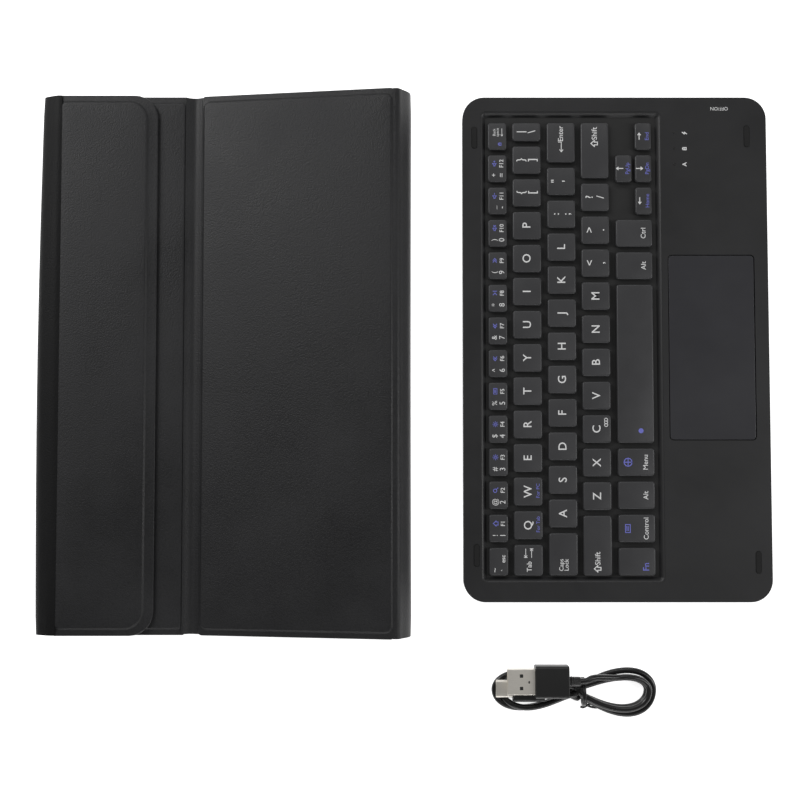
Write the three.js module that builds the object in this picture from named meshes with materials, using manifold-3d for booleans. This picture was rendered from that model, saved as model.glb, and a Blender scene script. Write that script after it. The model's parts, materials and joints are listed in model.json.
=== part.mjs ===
// Tablet keyboard case: a folding folio with its wireless keyboard and charging cable, laid out as a set.
// Millimetres, +Z up. X runs across the set from the folio to the keyboard, and Y runs along the long
// sides. The origin is the bottom centre of the box around the folio and the keyboard.
import * as THREE from 'three';
import { mergeVertices } from 'three/addons/utils/BufferGeometryUtils.js';
import Module from 'manifold-3d';

const wasm = await Module();
wasm.setup();

// ---- Driving dimensions ----
const seat = 0.3;                 // gap between pieces that lie on each other or move
const bond = 0.1;                 // gap where two layers are glued
const setGap = 25.1;              // clear space between folio and keyboard
const keyboardProud = 1.6;        // keyboard's upper end past the folio's
const knobProud = 0.6;            // switch knob past the keyboard's upper end
const keyboardHeight = 6.5;

const leather = 0.8;              // outer leather
const turnIn = 1.2;               // leather folded round a board's edge
const boardStep = 1;              // room for the leather to climb from a pressed border to its board
const pressed = { flap: [0, 3.3, 2.2, 2.2], rear: [1.4, 0.9, 1.8, 1.8], base: [1.4, 1.4, 1.8, 1.8],
  stand: [0, 0.8, 1.8, 1.8] };    // pressed borders wider than turnIn: left, right, lower, upper
const boardThick = 1.25;
const liningThick = 0.5;
const liningInset = 1.6;
const panelThick = leather + boardThick + liningThick + 2 * bond;

const spineThick = 1.3;           // soft leather of both spines
const leftSpineSpan = 8;          // how far the left spine bulges past the panels
const rightSpineSpan = 4.8;
const frontEdge = 8;              // base, strip and flap start here, from the folio's left side
const flapReach = 48.3;
const flapCorner = 11.5;
const stripStart = 11;
const stripEnd = 70.4;
const creaseWidth = 6.6;
const standSlope = THREE.MathUtils.degToRad(9);
const standShy = 2.2;             // stand panel ends this far inside the base's right edge
const panelCorner = 3;

const pocketLength = 246;         // largest tablet that the tray takes
const pocketWidth = 158;
const pocketDepth = 6.8;
const trayWall = 2;
const trayEndWall = 5;
const trayFloor = 1.2;
const coverOverhang = 1;          // cover past each end of the tray
const trayRound = 3;              // rolled outer edge that the tray turns on
const magnetWidth = 10;
const magnetLength = 60;
const keyboardMagnetLength = 120;

const keyboardCorner = 10.6;
const shellWall = 1.4;
const coverThick = 1.4;
const wellStart = 8.7;            // key well across the keyboard, from its rear edge
const wellEnd = 96.6;
const wellMarginTop = 6.9;
const wellMarginBottom = 9.3;
const wellCorner = 2.5;
const sheetThick = 0.8;
const sheetTop = keyboardHeight - 2.7;
const keyTop = keyboardHeight + 0.6;
const keyThick = 1.65;
const keyCorner = 1.4;
const keyGap = 2.4;
const carrierThick = 0.4;         // web that joins the keys of one row
const carrierWidth = 4;
const keyFieldStart = 12.6;       // first key, from the keyboard's lower end
const keyFieldLength = 219.6;
const keyFieldEnd = 12.6;         // from the last key to the upper end
const domeRadius = 2.2;
const batteryRoom = 0.8;          // between the cell and the deck above it
const touchpadWidth = 42;
const touchpadLength = 90;
const touchpadStart = wellEnd + 2.8;
const deckMargin = 6.6;           // deck in front of the touchpad
const touchpadThick = 1.3;
const touchpadSunk = 0.15;
const touchpadCorner = 2;
const windowGap = 0.35;

const cordDiameter = 3;
const rightLoop = { reach: 39.7, high: 10.8, low: 13.2 };   // bundle loops, measured from the tie
const leftLoop = { reach: 39.7, high: 9.5, low: 10.2 };
const strandsWide = 2;
const strandLayers = 2;
const coilDrop = 42;              // bundle's middle, below the keyboard's lower end
const coilShift = 53;             // bundle's middle, from the keyboard's rear edge
const plugA = { shell: [12.8, 12, 4.5], housing: [16, 15.2, 8], relief: [5.6, 4.5], tip: -32.7, side: 5.5, z: 11.8 };
const plugC = { shell: [7.8, 8.3, 2.6], housing: [15.2, 12, 6], relief: [4.4, 4], tip: -37.6, side: 0.9, z: 4.7 };
const plugWall = 0.35;

// ---- Places worked out from them ----
const baseEnd = stripStart + pocketWidth + 2 * trayWall;
const caseWidth = baseEnd + rightSpineSpan;
const caseLength = pocketLength + 2 * trayEndWall + 2 * coverOverhang;
const keyboardWidth = touchpadStart + touchpadWidth + deckMargin;
const keyboardLength = keyFieldStart + keyFieldLength + keyFieldEnd;
const setLength = caseWidth + setGap + keyboardWidth;
const caseLeft = -setLength / 2;
const keyboardLeft = caseLeft + caseWidth + setGap;
const folioMiddle = -keyboardProud / 2;
const keyboardBottom = folioMiddle + caseLength / 2 + keyboardProud - keyboardLength;
const trayBottom = panelThick + seat;
const trayTop = trayBottom + pocketDepth + trayFloor;
const stripBottom = trayTop + bond;
const stripTop = stripBottom + boardThick + leather + bond;
const flapBottom = stripTop + seat;
const flapTop = flapBottom + panelThick;
const creaseX = stripEnd + creaseWidth / 2;
const creaseZ = stripBottom + 1.0;
const standLength = (baseEnd - standShy - creaseX) / Math.cos(standSlope) - creaseWidth / 2;

// ---- Materials ----
function finish(color, roughness, metalness = 0) {
  return new THREE.MeshStandardMaterial({ color, roughness, metalness });
}
const blackLeather = finish(0x1d1d1f, 0.55);
const softLining = finish(0x26262a, 0.9);
const greyBoard = finish(0x6b6760, 0.95);
const steel = finish(0x9a9ca0, 0.35, 1);
const caseBlack = finish(0x1e1e20, 0.5);
const keyBlack = finish(0x2a2a2d, 0.45);
const padBlack = finish(0x2c2c30, 0.35);
const rubberBlack = finish(0x141415, 0.8);
const domeGrey = finish(0xb8b8b4, 0.7);
const cellSilver = finish(0xa9adb3, 0.4, 0.3);
const boardGreen = finish(0x1f5b3a, 0.6);
const lampWhite = finish(0xe8e8e0, 0.3);
const plugBlack = finish(0x161617, 0.5);

// ---- Shapes ----
const arcSteps = 4;

// Rounded outline from (x0, y0) to (x1, y1). corners are the radii at low-low, high-low, high-high, low-high.
function outline(x0, y0, x1, y1, corners) {
  const [a, b, c, d] = Array.isArray(corners) ? corners : [corners, corners, corners, corners];
  const shape = new THREE.Shape();
  shape.moveTo(x0 + a, y0);
  shape.lineTo(x1 - b, y0);
  if (b > 0) shape.absarc(x1 - b, y0 + b, b, -Math.PI / 2, 0);
  shape.lineTo(x1, y1 - c);
  if (c > 0) shape.absarc(x1 - c, y1 - c, c, 0, Math.PI / 2);
  shape.lineTo(x0 + d, y1);
  if (d > 0) shape.absarc(x0 + d, y1 - d, d, Math.PI / 2, Math.PI);
  shape.lineTo(x0, y0 + a);
  if (a > 0) shape.absarc(x0 + a, y0 + a, a, Math.PI, 1.5 * Math.PI);
  return shape;
}

function slab(shape, z0, z1, curveSegments = arcSteps) {
  const geometry = new THREE.ExtrudeGeometry(shape, { depth: z1 - z0, bevelEnabled: false, curveSegments });
  return geometry.translate(0, 0, z0);
}

function block(x0, y0, z0, x1, y1, z1) {
  const geometry = new THREE.BoxGeometry(x1 - x0, y1 - y0, z1 - z0);
  return geometry.translate((x0 + x1) / 2, (y0 + y1) / 2, (z0 + z1) / 2);
}

// Extrudes a section drawn in X and Z along Y, from y0 to y1.
function rail(shape, y0, y1, curveSegments = arcSteps) {
  const geometry = new THREE.ExtrudeGeometry(shape, { depth: y1 - y0, bevelEnabled: false, curveSegments });
  return geometry.rotateX(Math.PI / 2).translate(0, y1, 0);
}

function cylinderAlongX(radius, x0, x1, y, z, sides) {
  const geometry = new THREE.CylinderGeometry(radius, radius, x1 - x0, sides);
  return geometry.rotateZ(Math.PI / 2).translate((x0 + x1) / 2, y, z);
}

// ---- Joins and cuts ----
function toSolid(geometry) {
  const bare = geometry.clone();
  bare.deleteAttribute('normal');
  bare.deleteAttribute('uv');
  const merged = mergeVertices(bare, 1e-4);
  return new wasm.Manifold(new wasm.Mesh({
    numProp: 3,
    vertProperties: new Float32Array(merged.attributes.position.array),
    triVerts: new Uint32Array(merged.index.array),
  }));
}

function toGeometry(solid) {
  const mesh = solid.getMesh();
  const geometry = new THREE.BufferGeometry();
  geometry.setAttribute('position', new THREE.BufferAttribute(mesh.vertProperties, 3));
  geometry.setIndex(new THREE.BufferAttribute(mesh.triVerts, 1));
  return geometry;
}

function cut(body, ...tools) {
  return toGeometry(tools.reduce((left, tool) => left.subtract(toSolid(tool)), toSolid(body)));
}

function join(...bodies) {
  return toGeometry(bodies.map(toSolid).reduce((all, body) => all.add(body)));
}

function common(a, b) {
  return toGeometry(toSolid(a).intersect(toSolid(b)));
}

const set = new THREE.Group();
const folio = new THREE.Group();
folio.position.set(caseLeft, folioMiddle, 0);
const keyboard = new THREE.Group();
keyboard.position.set(keyboardLeft, keyboardBottom, 0);
const cable = new THREE.Group();
set.add(folio, keyboard, cable);

function piece(parent, name, geometry, material) {
  const mesh = new THREE.Mesh(geometry, material);
  mesh.name = name;
  parent.add(mesh);
  return mesh;
}

// ---- Folio panels ----
// A panel is a leather skin folded round a board, closed by a lining. Its leather faces up when
// leatherUp is true. bars are [x0, y0, x1, y1] slots that the board leaves for magnets and plates.
function panel(parent, name, edges, corners, z0, leatherUp, bars, withLining = true) {
  const [x0, y0, x1, y1] = edges;
  const shrink = (d) => outline(
    x0 + d, y0 + d, x1 - d, y1 - d, corners.map((r) => Math.max(r - d, 0.4)),
  );
  const lower = withLining ? liningThick + bond : 0;
  const z1 = z0 + lower + boardThick + bond + leather;
  const layer = (from, to) => (leatherUp ? [from, to] : [z0 + z1 - to, z0 + z1 - from]);
  const [skin0, skin1] = layer(z0 + lower, z1);
  const [hollow0, hollow1] = layer(z0 + lower - 1, z0 + lower + boardThick + bond);
  const [board0, board1] = layer(z0 + lower, z0 + lower + boardThick);
  const [lining0, lining1] = layer(z0, z0 + liningThick);
  const whole = outline(x0, y0, x1, y1, corners);
  const [left, right, low, high] = pressed[name].map((d) => d + turnIn);
  const boardOutline = (d) => outline(x0 + left + d, y0 + low + d, x1 - right - d, y1 - high - d,
    corners.map((r) => Math.max(r - boardStep - d, 0.4)));
  piece(parent, `${name}_skin`, cut(slab(whole, skin0, skin1), slab(boardOutline(boardStep - bond), hollow0, hollow1)),
    blackLeather);
  const board = slab(boardOutline(boardStep), board0, board1);
  const slots = bars.map(([a, b, c, d]) => block(a - bond, b - bond, board0 - 1, c + bond, d + bond, board1 + 1));
  piece(parent, `${name}_board`, slots.length ? cut(board, ...slots) : board, greyBoard);
  if (withLining) piece(parent, `${name}_lining`, slab(shrink(liningInset), lining0, lining1), softLining);
  return [board0, board1];
}

// Leather strip bowed sideways between two heights. bow is how far its middle stands out.
function bowedSpine(foot, head, z0, z1, bow) {
  const steps = 12;
  const outside = bow > 0 ? spineThick : -spineThick;
  const edge = (i, inner) => {
    const t = i / steps;
    const x = foot + (head - foot) * t + bow * Math.sin(Math.PI * t);
    return new THREE.Vector2(x - (inner ? outside : 0), z0 + (z1 - z0) * t);
  };
  const points = [];
  for (let i = 0; i <= steps; i += 1) points.push(edge(i, false));
  for (let i = steps; i >= 0; i -= 1) points.push(edge(i, true));
  return rail(new THREE.Shape(points), -caseLength / 2, caseLength / 2);
}

function baseCover() {
  const bar = [frontEdge + 14, -keyboardMagnetLength / 2, frontEdge + 14 + magnetWidth, keyboardMagnetLength / 2];
  const edges = [frontEdge, -caseLength / 2, baseEnd, caseLength / 2];
  const [z0, z1] = panel(folio, 'base', edges, [panelCorner, panelCorner, panelCorner, panelCorner], 0, false, [bar]);
  piece(folio, 'base_magnet_bar', block(bar[0], bar[1], z0, bar[2], bar[3], z1), steel);
}

function tabletCover() {
  const trayEnd = stripStart + pocketWidth + 2 * trayWall;
  const half = pocketLength / 2;
  const section = outline(stripStart, trayBottom, trayEnd, trayTop, [1, trayRound, trayRound, 1]);
  const body = rail(section, -half - trayEndWall, half + trayEndWall);
  const plan = slab(outline(stripStart, -half - trayEndWall, trayEnd, half + trayEndWall, 8),
    trayBottom - 1, trayTop + 1);
  const pocket = slab(outline(stripStart + trayWall, -half, trayEnd - trayWall, half, 6),
    trayBottom - 1, trayTop - trayFloor);
  piece(folio, 'tablet_tray', cut(common(body, plan), pocket), caseBlack);
  const plate = [flapReach - magnetWidth, -magnetLength / 2, flapReach, magnetLength / 2];
  const edges = [stripStart, -caseLength / 2, stripEnd, caseLength / 2];
  const [z0, z1] = panel(folio, 'rear', edges, [panelCorner, 1, 1, panelCorner], stripBottom, true, [plate], false);
  piece(folio, 'catch_plate', block(plate[0], plate[1], z0, plate[2], plate[3], z1), steel);
}

function flap() {
  const right = frontEdge + flapReach;
  const bar = [flapReach - magnetWidth, -magnetLength / 2, flapReach, magnetLength / 2];
  const edges = [frontEdge, -caseLength / 2, right, caseLength / 2];
  const corners = [panelCorner, flapCorner, flapCorner, panelCorner];
  const [z0, z1] = panel(folio, 'flap', edges, corners, flapBottom, true, [bar]);
  piece(folio, 'flap_magnet_bar', block(bar[0], bar[1], z0, bar[2], bar[3], z1), steel);
}

function standPanel() {
  const lean = new THREE.Group();
  lean.position.set(creaseX, 0, creaseZ);
  lean.rotation.y = -standSlope;
  folio.add(lean);
  const start = creaseWidth / 2;
  const edges = [start, -caseLength / 2, start + standLength, caseLength / 2];
  panel(lean, 'stand', edges, [panelCorner, panelCorner, panelCorner, panelCorner],
    -panelThick / 2 + seat, true, []);
}

function softLeather() {
  const inset = 0.3;
  piece(folio, 'left_spine_skin',
    bowedSpine(frontEdge - spineThick - inset, frontEdge - spineThick - inset, inset, flapTop - inset,
      spineThick + inset - leftSpineSpan), blackLeather);
  const creaseHalf = creaseWidth / 2 - seat;
  piece(folio, 'crease_skin', block(creaseX - creaseHalf, -caseLength / 2, trayTop + seat,
    creaseX + creaseHalf, caseLength / 2, stripTop - leather), blackLeather);
  const reach = creaseWidth / 2 + standLength;
  const headZ = creaseZ + reach * Math.sin(standSlope);
  const foot = baseEnd + spineThick + inset;
  const head = creaseX + reach * Math.cos(standSlope) + spineThick + inset;
  piece(folio, 'right_spine_skin',
    bowedSpine(foot, head, inset, headZ + 0.5 * panelThick - inset, caseWidth - (foot + head) / 2), blackLeather);
}

// ---- Keyboard: its frame starts at the rear edge (X) and the lower end (Y) ----
function at(u, v, width, length) {
  return [u, v, u + width, v + length];
}

// The key plan. Each row is [rear edge, depth, [[width, count, name], ...]], and name is null for a
// key that is joined to the others of its row.
const unit = (keyFieldLength + keyGap) / 14;
const letter = 16.1;
const rows = [
  ['keys_number_row', 12.2, 9.3,
    [[unit, 1, 'key_escape'], [unit, 12, null], [unit, 1, 'key_backspace']]],
  ['keys_q_row', 24.1, 14.0,
    [[14.9 + keyGap, 1, 'key_tab'], [letter, 12, null], [0, 1, null]]],
  ['keys_a_row', 40.9, 13.9,
    [[20.5 + keyGap, 1, 'key_caps_lock'], [letter, 11, null], [0, 1, 'key_enter']]],
  ['keys_z_row', 57.4, 13.8,
    [[28.8 + keyGap, 1, 'key_left_shift'], [letter, 10, null], [0, 1, 'key_right_shift']]],
  ['', 74.2, 17.8,
    [[unit, 1, 'key_fn'], [unit, 1, 'key_control'], [unit, 1, 'key_left_alt'], [unit, 1, 'key_menu'],
      [5 * unit, 1, 'key_space'], [unit, 1, 'key_right_alt'], [unit, 1, 'key_right_ctrl']]],
];
const arrowDepth = 8.2;

// All keys as {name, row, box}: box is [u0, v0, u1, v1]. A width of 0 fills what is left of the row.
function keyPlan() {
  const keys = [];
  const fieldEnd = keyFieldStart + keyFieldLength;
  let v = keyFieldStart;
  for (const [row, u, depth, groups] of rows) {
    v = keyFieldStart;
    for (const [pitch, count, name] of groups) {
      for (let i = 0; i < count; i += 1) {
        const step = pitch || fieldEnd - v + keyGap;
        keys.push({ name, row, box: at(u, v, depth, step - keyGap) });
        v += step;
      }
    }
  }
  const [, u, depth] = rows[rows.length - 1];
  const front = u + depth - arrowDepth;
  const width = unit - keyGap;
  keys.push({ name: 'key_arrow_left', row: '', box: at(front, v, arrowDepth, width) });
  keys.push({ name: 'key_arrow_up', row: '', box: at(u, v + unit, arrowDepth, width) });
  keys.push({ name: 'key_arrow_down', row: '', box: at(front, v + unit, arrowDepth, width) });
  keys.push({ name: 'key_arrow_right', row: '', box: at(front, v + 2 * unit, arrowDepth, width) });
  return keys;
}

function keycap([u0, v0, u1, v1]) {
  return slab(outline(u0, v0, u1, v1, keyCorner), keyTop - keyThick, keyTop, 2);
}

function keycaps() {
  const keys = keyPlan();
  for (const key of keys.filter((k) => k.name)) piece(keyboard, key.name, keycap(key.box), keyBlack);
  for (const [row] of rows.filter((r) => r[0])) {
    const joined = keys.filter((k) => k.row === row && !k.name);
    const first = joined[0].box;
    const last = joined[joined.length - 1].box;
    const middle = (first[0] + first[2]) / 2;
    const web = block(middle - carrierWidth / 2, first[3] - 1, keyTop - keyThick,
      middle + carrierWidth / 2, last[1] + 1, keyTop - keyThick + carrierThick);
    piece(keyboard, row, join(web, ...joined.map((k) => keycap(k.box))), keyBlack);
  }
}

// Rubber mat with one hollow-looking dome under the middle of each key.
function domeMat() {
  const matTop = sheetTop + seat;
  const domeTop = keyTop - keyThick - 0.1;
  const mat = slab(outline(wellStart + 2, wellMarginBottom + 2, wellEnd - 2,
    keyboardLength - wellMarginTop - 2, 1), sheetTop + bond, matTop + 0.1, 1);
  const domes = keyPlan().map(({ box: [u0, v0, u1, v1] }) => {
    const dome = new THREE.CylinderGeometry(domeRadius * 0.6, domeRadius, domeTop - matTop, 6);
    return dome.rotateX(Math.PI / 2).translate((u0 + u1) / 2, (v0 + v1) / 2, (domeTop + matTop) / 2);
  });
  piece(keyboard, 'dome_mat', join(mat, ...domes), domeGrey);
}

const socketU = touchpadStart + 9.1;   // charge socket and switch, on the upper end wall
const socketWidth = 9;
const socketHeight = 3;
const socketDepth = 7.3;
const boardBodyThick = 1;
const knobU = socketU + 11.9;
const knobWidth = 4.9;
const knobTravel = 2.4;
const knobHeight = 1.6;
const knobZ = keyboardHeight - shellWall - seat - knobHeight;
const lampU = touchpadStart + 3.8;
const lampFirst = 17.6;           // charge, battery and letter lamps, from the upper end
const lampStep = 7.7;
const lampRadius = 0.5;
const socketZ = 1.9;
const bumperWidth = 2.6;
const bumperLength = 10.6;
const bumperDepth = 0.6;
const bumperRise = 0.35;
const bumpers = [['bumper_rear_upper', 4.5, keyboardLength - 25.2], ['bumper_front_upper', keyboardWidth - 10.8, keyboardLength - 24.5],
  ['bumper_rear_lower', 5.0, 17.0], ['bumper_front_lower', keyboardWidth - 8, 13.7]];

function keyboardShell() {
  const top = keyboardHeight;
  const deck = top - shellWall;
  const outer = slab(outline(0, 0, keyboardWidth, keyboardLength, keyboardCorner), coverThick + bond, top, 8);
  const hollow = slab(outline(shellWall, shellWall, keyboardWidth - shellWall, keyboardLength - shellWall,
    keyboardCorner - shellWall), coverThick, deck, 8);
  const well = slab(outline(wellStart, wellMarginBottom, wellEnd, keyboardLength - wellMarginTop, wellCorner),
    deck - 1, top + 1);
  const padV = (keyboardLength - touchpadLength) / 2;
  const window = slab(outline(touchpadStart, padV, touchpadStart + touchpadWidth, padV + touchpadLength,
    touchpadCorner), deck - 1, top + 1);
  const wallStart = keyboardLength - 2 * shellWall;
  const socketHole = block(socketU - seat, keyboardLength - socketDepth - 1, socketZ - seat, socketU + socketWidth + seat,
    keyboardLength + 1, socketZ + socketHeight + seat);
  const knobSlot = block(knobU - seat, wallStart, knobZ - seat, knobU + knobWidth + knobTravel + seat,
    keyboardLength + 1, knobZ + knobHeight + seat);
  const pockets = bumpers.map(([, u, v]) => slab(outline(u - bond, v - bond, u + bumperWidth + bond,
    v + bumperLength + bond, bumperWidth / 2), top - bumperDepth, top + 1));
  const lampHoles = [0, 1, 2].map((i) => new THREE.CylinderGeometry(lampRadius + bond, lampRadius + bond, 6, 8)
    .rotateX(Math.PI / 2).translate(lampU, keyboardLength - lampFirst - i * lampStep, top));
  piece(keyboard, 'keyboard_top_case',
    cut(outer, hollow, well, window, socketHole, knobSlot, ...pockets, ...lampHoles), caseBlack);
  const plate = outline(0, 0, keyboardWidth, keyboardLength, keyboardCorner);
  const barHole = block(wellStart - bond, (keyboardLength - keyboardMagnetLength) / 2 - bond, coverThick - 0.8,
    wellStart + magnetWidth + bond, (keyboardLength + keyboardMagnetLength) / 2 + bond, coverThick + 1);
  piece(keyboard, 'keyboard_bottom_cover', cut(slab(plate, 0, coverThick, 8), barHole), caseBlack);
  for (const [name, u, v] of bumpers) {
    piece(keyboard, name, slab(outline(u, v, u + bumperWidth, v + bumperLength, bumperWidth / 2 - bond),
      top - bumperDepth + bond, top + bumperRise), rubberBlack);
  }
}

function keyboardInsides() {
  const middle = keyboardLength / 2;
  piece(keyboard, 'keyboard_magnet_bar', block(wellStart, middle - keyboardMagnetLength / 2, coverThick - 0.7,
    wellStart + magnetWidth, middle + keyboardMagnetLength / 2, coverThick + 0.3), steel);
  piece(keyboard, 'key_sheet', slab(outline(wellStart - 3, wellMarginBottom - 3, wellEnd + 1.5,
    keyboardLength - wellMarginTop + 3, 2), sheetTop - sheetThick, sheetTop), steel);
  const bayStart = wellEnd + 5;
  const bayEnd = keyboardWidth - 6;
  const padV = middle - touchpadLength / 2;
  piece(keyboard, 'battery', slab(outline(bayStart, shellWall + 18, bayEnd, padV - 4, 2),
    coverThick + seat, keyboardHeight - shellWall - batteryRoom), cellSilver);
  const boardBottom = coverThick + seat;
  const socketEnd = keyboardLength - 0.2;
  piece(keyboard, 'main_board', block(bayStart, padV + touchpadLength + 4, boardBottom, bayEnd - 6,
    socketEnd - socketDepth - seat, boardBottom + boardBodyThick), boardGreen);
  const gap = windowGap;
  piece(keyboard, 'touchpad', slab(outline(touchpadStart + gap, padV + gap, touchpadStart + touchpadWidth - gap,
    padV + touchpadLength - gap, touchpadCorner - gap), keyboardHeight - touchpadSunk - touchpadThick,
  keyboardHeight - touchpadSunk), padBlack);
  const shell = new THREE.ExtrudeGeometry(outline(socketU, socketZ, socketU + socketWidth,
    socketZ + socketHeight, socketHeight / 2 - 0.01), { depth: socketDepth, bevelEnabled: false, curveSegments: 3 })
    .rotateX(Math.PI / 2).translate(0, socketEnd, 0);
  const mouth = new THREE.ExtrudeGeometry(outline(socketU + 0.4, socketZ + 0.4, socketU + socketWidth - 0.4,
    socketZ + socketHeight - 0.4, socketHeight / 2 - 0.41), { depth: socketDepth, bevelEnabled: false, curveSegments: 3 })
    .rotateX(Math.PI / 2).translate(0, socketEnd + 1, 0);
  const tongue = block(socketU + 1.2, socketEnd - socketDepth + 0.6, socketZ + socketHeight / 2 - 0.35,
    socketU + socketWidth - 1.2, socketEnd - 1.5, socketZ + socketHeight / 2 + 0.35);
  piece(keyboard, 'charge_socket', join(cut(shell, mouth), tongue), steel);
  const knobFoot = block(knobU + seat, keyboardLength - 2 * shellWall - 1.5, knobZ, knobU + knobWidth - seat,
    keyboardLength + knobProud, knobZ + knobHeight);
  piece(keyboard, 'power_switch', knobFoot, rubberBlack);
  const bar = block(lampU - 1, keyboardLength - lampFirst - 2 * lampStep - 2, keyboardHeight - shellWall - 1.2,
    lampU + 1, keyboardLength - lampFirst + 2, keyboardHeight - shellWall - 0.2);
  const pips = [0, 1, 2].map((i) => new THREE.CylinderGeometry(lampRadius, lampRadius, shellWall + 0.6, 8)
    .rotateX(Math.PI / 2).translate(lampU, keyboardLength - lampFirst - i * lampStep,
      keyboardHeight - (shellWall + 0.6) / 2));
  piece(keyboard, 'light_guide', join(bar, ...pips), lampWhite);
}

// ---- Charging cable, tied in a figure of eight below the keyboard ----
// One loop of the bundle, a teardrop drawn round from the tie: side is 1 to the right and -1 to the left.
const tearShare = 4 / (3 * Math.sqrt(3));   // the widest value of sin(t) sin(t / 2)

function loopOutline(side, loop, inset, neck) {
  const points = [];
  const steps = 32;
  for (let i = 0; i < steps; i += 1) {
    const turn = 2 * Math.PI * (i / steps);
    const along = neck + (loop.reach - inset - neck) * (1 - Math.cos(turn)) / 2;
    const wide = ((turn < Math.PI ? loop.low : loop.high) - inset) / tearShare;
    points.push(new THREE.Vector2(side * along, -wide * Math.sin(turn) * Math.sin(turn / 2)));
  }
  return new THREE.Shape(points);
}

// Plug lying along X with its contacts to the left. Its shell is a tube with a tongue inside.
function plug(name, { shell, housing, relief, tip, side, z }, shellRound, mouthMaterial) {
  const [length, width, thick] = shell;
  const tube = (inset, x0, x1) => {
    const section = outline(-width / 2 + inset, -thick / 2 + inset, width / 2 - inset, thick / 2 - inset,
      Math.max(shellRound - inset, 0.05));
    return new THREE.ExtrudeGeometry(section, { depth: x1 - x0, bevelEnabled: false, curveSegments: 3 })
      .rotateZ(Math.PI / 2).rotateY(Math.PI / 2).translate(x0, side, z);
  };
  const end = tip + length;
  const tongue = block(tip + 1, side - width / 2 + 1.2, z - thick * 0.12, end - 0.5, side + width / 2 - 1.2,
    z + thick * 0.12);
  const sleeve = cut(tube(0, tip, end), tube(plugWall, tip - 1, end - 1));
  piece(cable, `${name}_shell`, join(sleeve, tongue), mouthMaterial);
  const [bodyLength, bodyWidth, bodyThick] = housing;
  const bodyStart = end + bond;
  const bodyEnd = bodyStart + bodyLength;
  const body = new THREE.ExtrudeGeometry(
    outline(-bodyWidth / 2, -bodyThick / 2, bodyWidth / 2, bodyThick / 2, 1.5),
    { depth: bodyLength, bevelEnabled: false, curveSegments: 3 },
  ).rotateZ(Math.PI / 2).rotateY(Math.PI / 2).translate(bodyStart, side, z);
  const sleeveEnd = cylinderAlongX(relief[1] / 2, bodyEnd - 1, bodyEnd + relief[0], side, z, 10);
  piece(cable, `${name}_housing`, join(body, sleeveEnd), plugBlack);
}

// Room that the windings leave round the smaller plug: its shell, its housing and its strain relief.
function plugRoom({ shell, housing, relief, tip, side, z }, top) {
  const bodyStart = tip + shell[0];
  const bodyEnd = bodyStart + housing[0] + bond;
  const clear = ([, width, thick], x0, x1) => block(x0, side - width / 2 - seat, z - thick / 2 - seat,
    x1, side + width / 2 + seat, top);
  const reliefEnd = bodyEnd + relief[0] + seat;
  return [clear(shell, tip - 2 * cordDiameter, bodyStart + 1), clear(housing, bodyStart - seat, bodyEnd + seat),
    cylinderAlongX(relief[1] / 2 + seat, bodyEnd, reliefEnd, side, z, 10)];
}

function chargingCable() {
  cable.position.set(keyboardLeft + coilShift, keyboardBottom - coilDrop, 0);
  plug('usb_a', plugA, 0.4, steel);
  plug('usb_c', plugC, plugC.shell[2] / 2 - 0.02, steel);
  const top = strandLayers * cordDiameter + 0.2;
  const winding = strandsWide * cordDiameter + 0.2;
  const tieStart = -cordDiameter * 2;
  const tieEnd = cordDiameter * 2.6;
  const tieHalf = cordDiameter * 1.3;
  const solid = join(block(tieStart, -tieHalf, 0, tieEnd, tieHalf, top),
    slab(loopOutline(1, rightLoop, 0, 0), 0, top), slab(loopOutline(-1, leftLoop, 0, 0), 0, top));
  const rightHole = slab(loopOutline(1, rightLoop, winding, tieEnd), -1, top + 1);
  const leftHole = slab(loopOutline(-1, leftLoop, cordDiameter + seat, -tieStart), -1, top + 1);
  piece(cable, 'cable_coil', cut(solid, rightHole, leftHole, ...plugRoom(plugC, top + 1)), plugBlack);
}

baseCover();
tabletCover();
flap();
standPanel();
softLeather();
keyboardShell();
keyboardInsides();
keycaps();
domeMat();
chargingCable();

export default set;
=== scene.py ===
"""Looks of the tablet keyboard case: a black leather folio, its slim keyboard and a tied charging cable.

Lengths in the tables below are millimetres; MM turns them into metres. Places come from the frame.
"""

import json
import math

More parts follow.
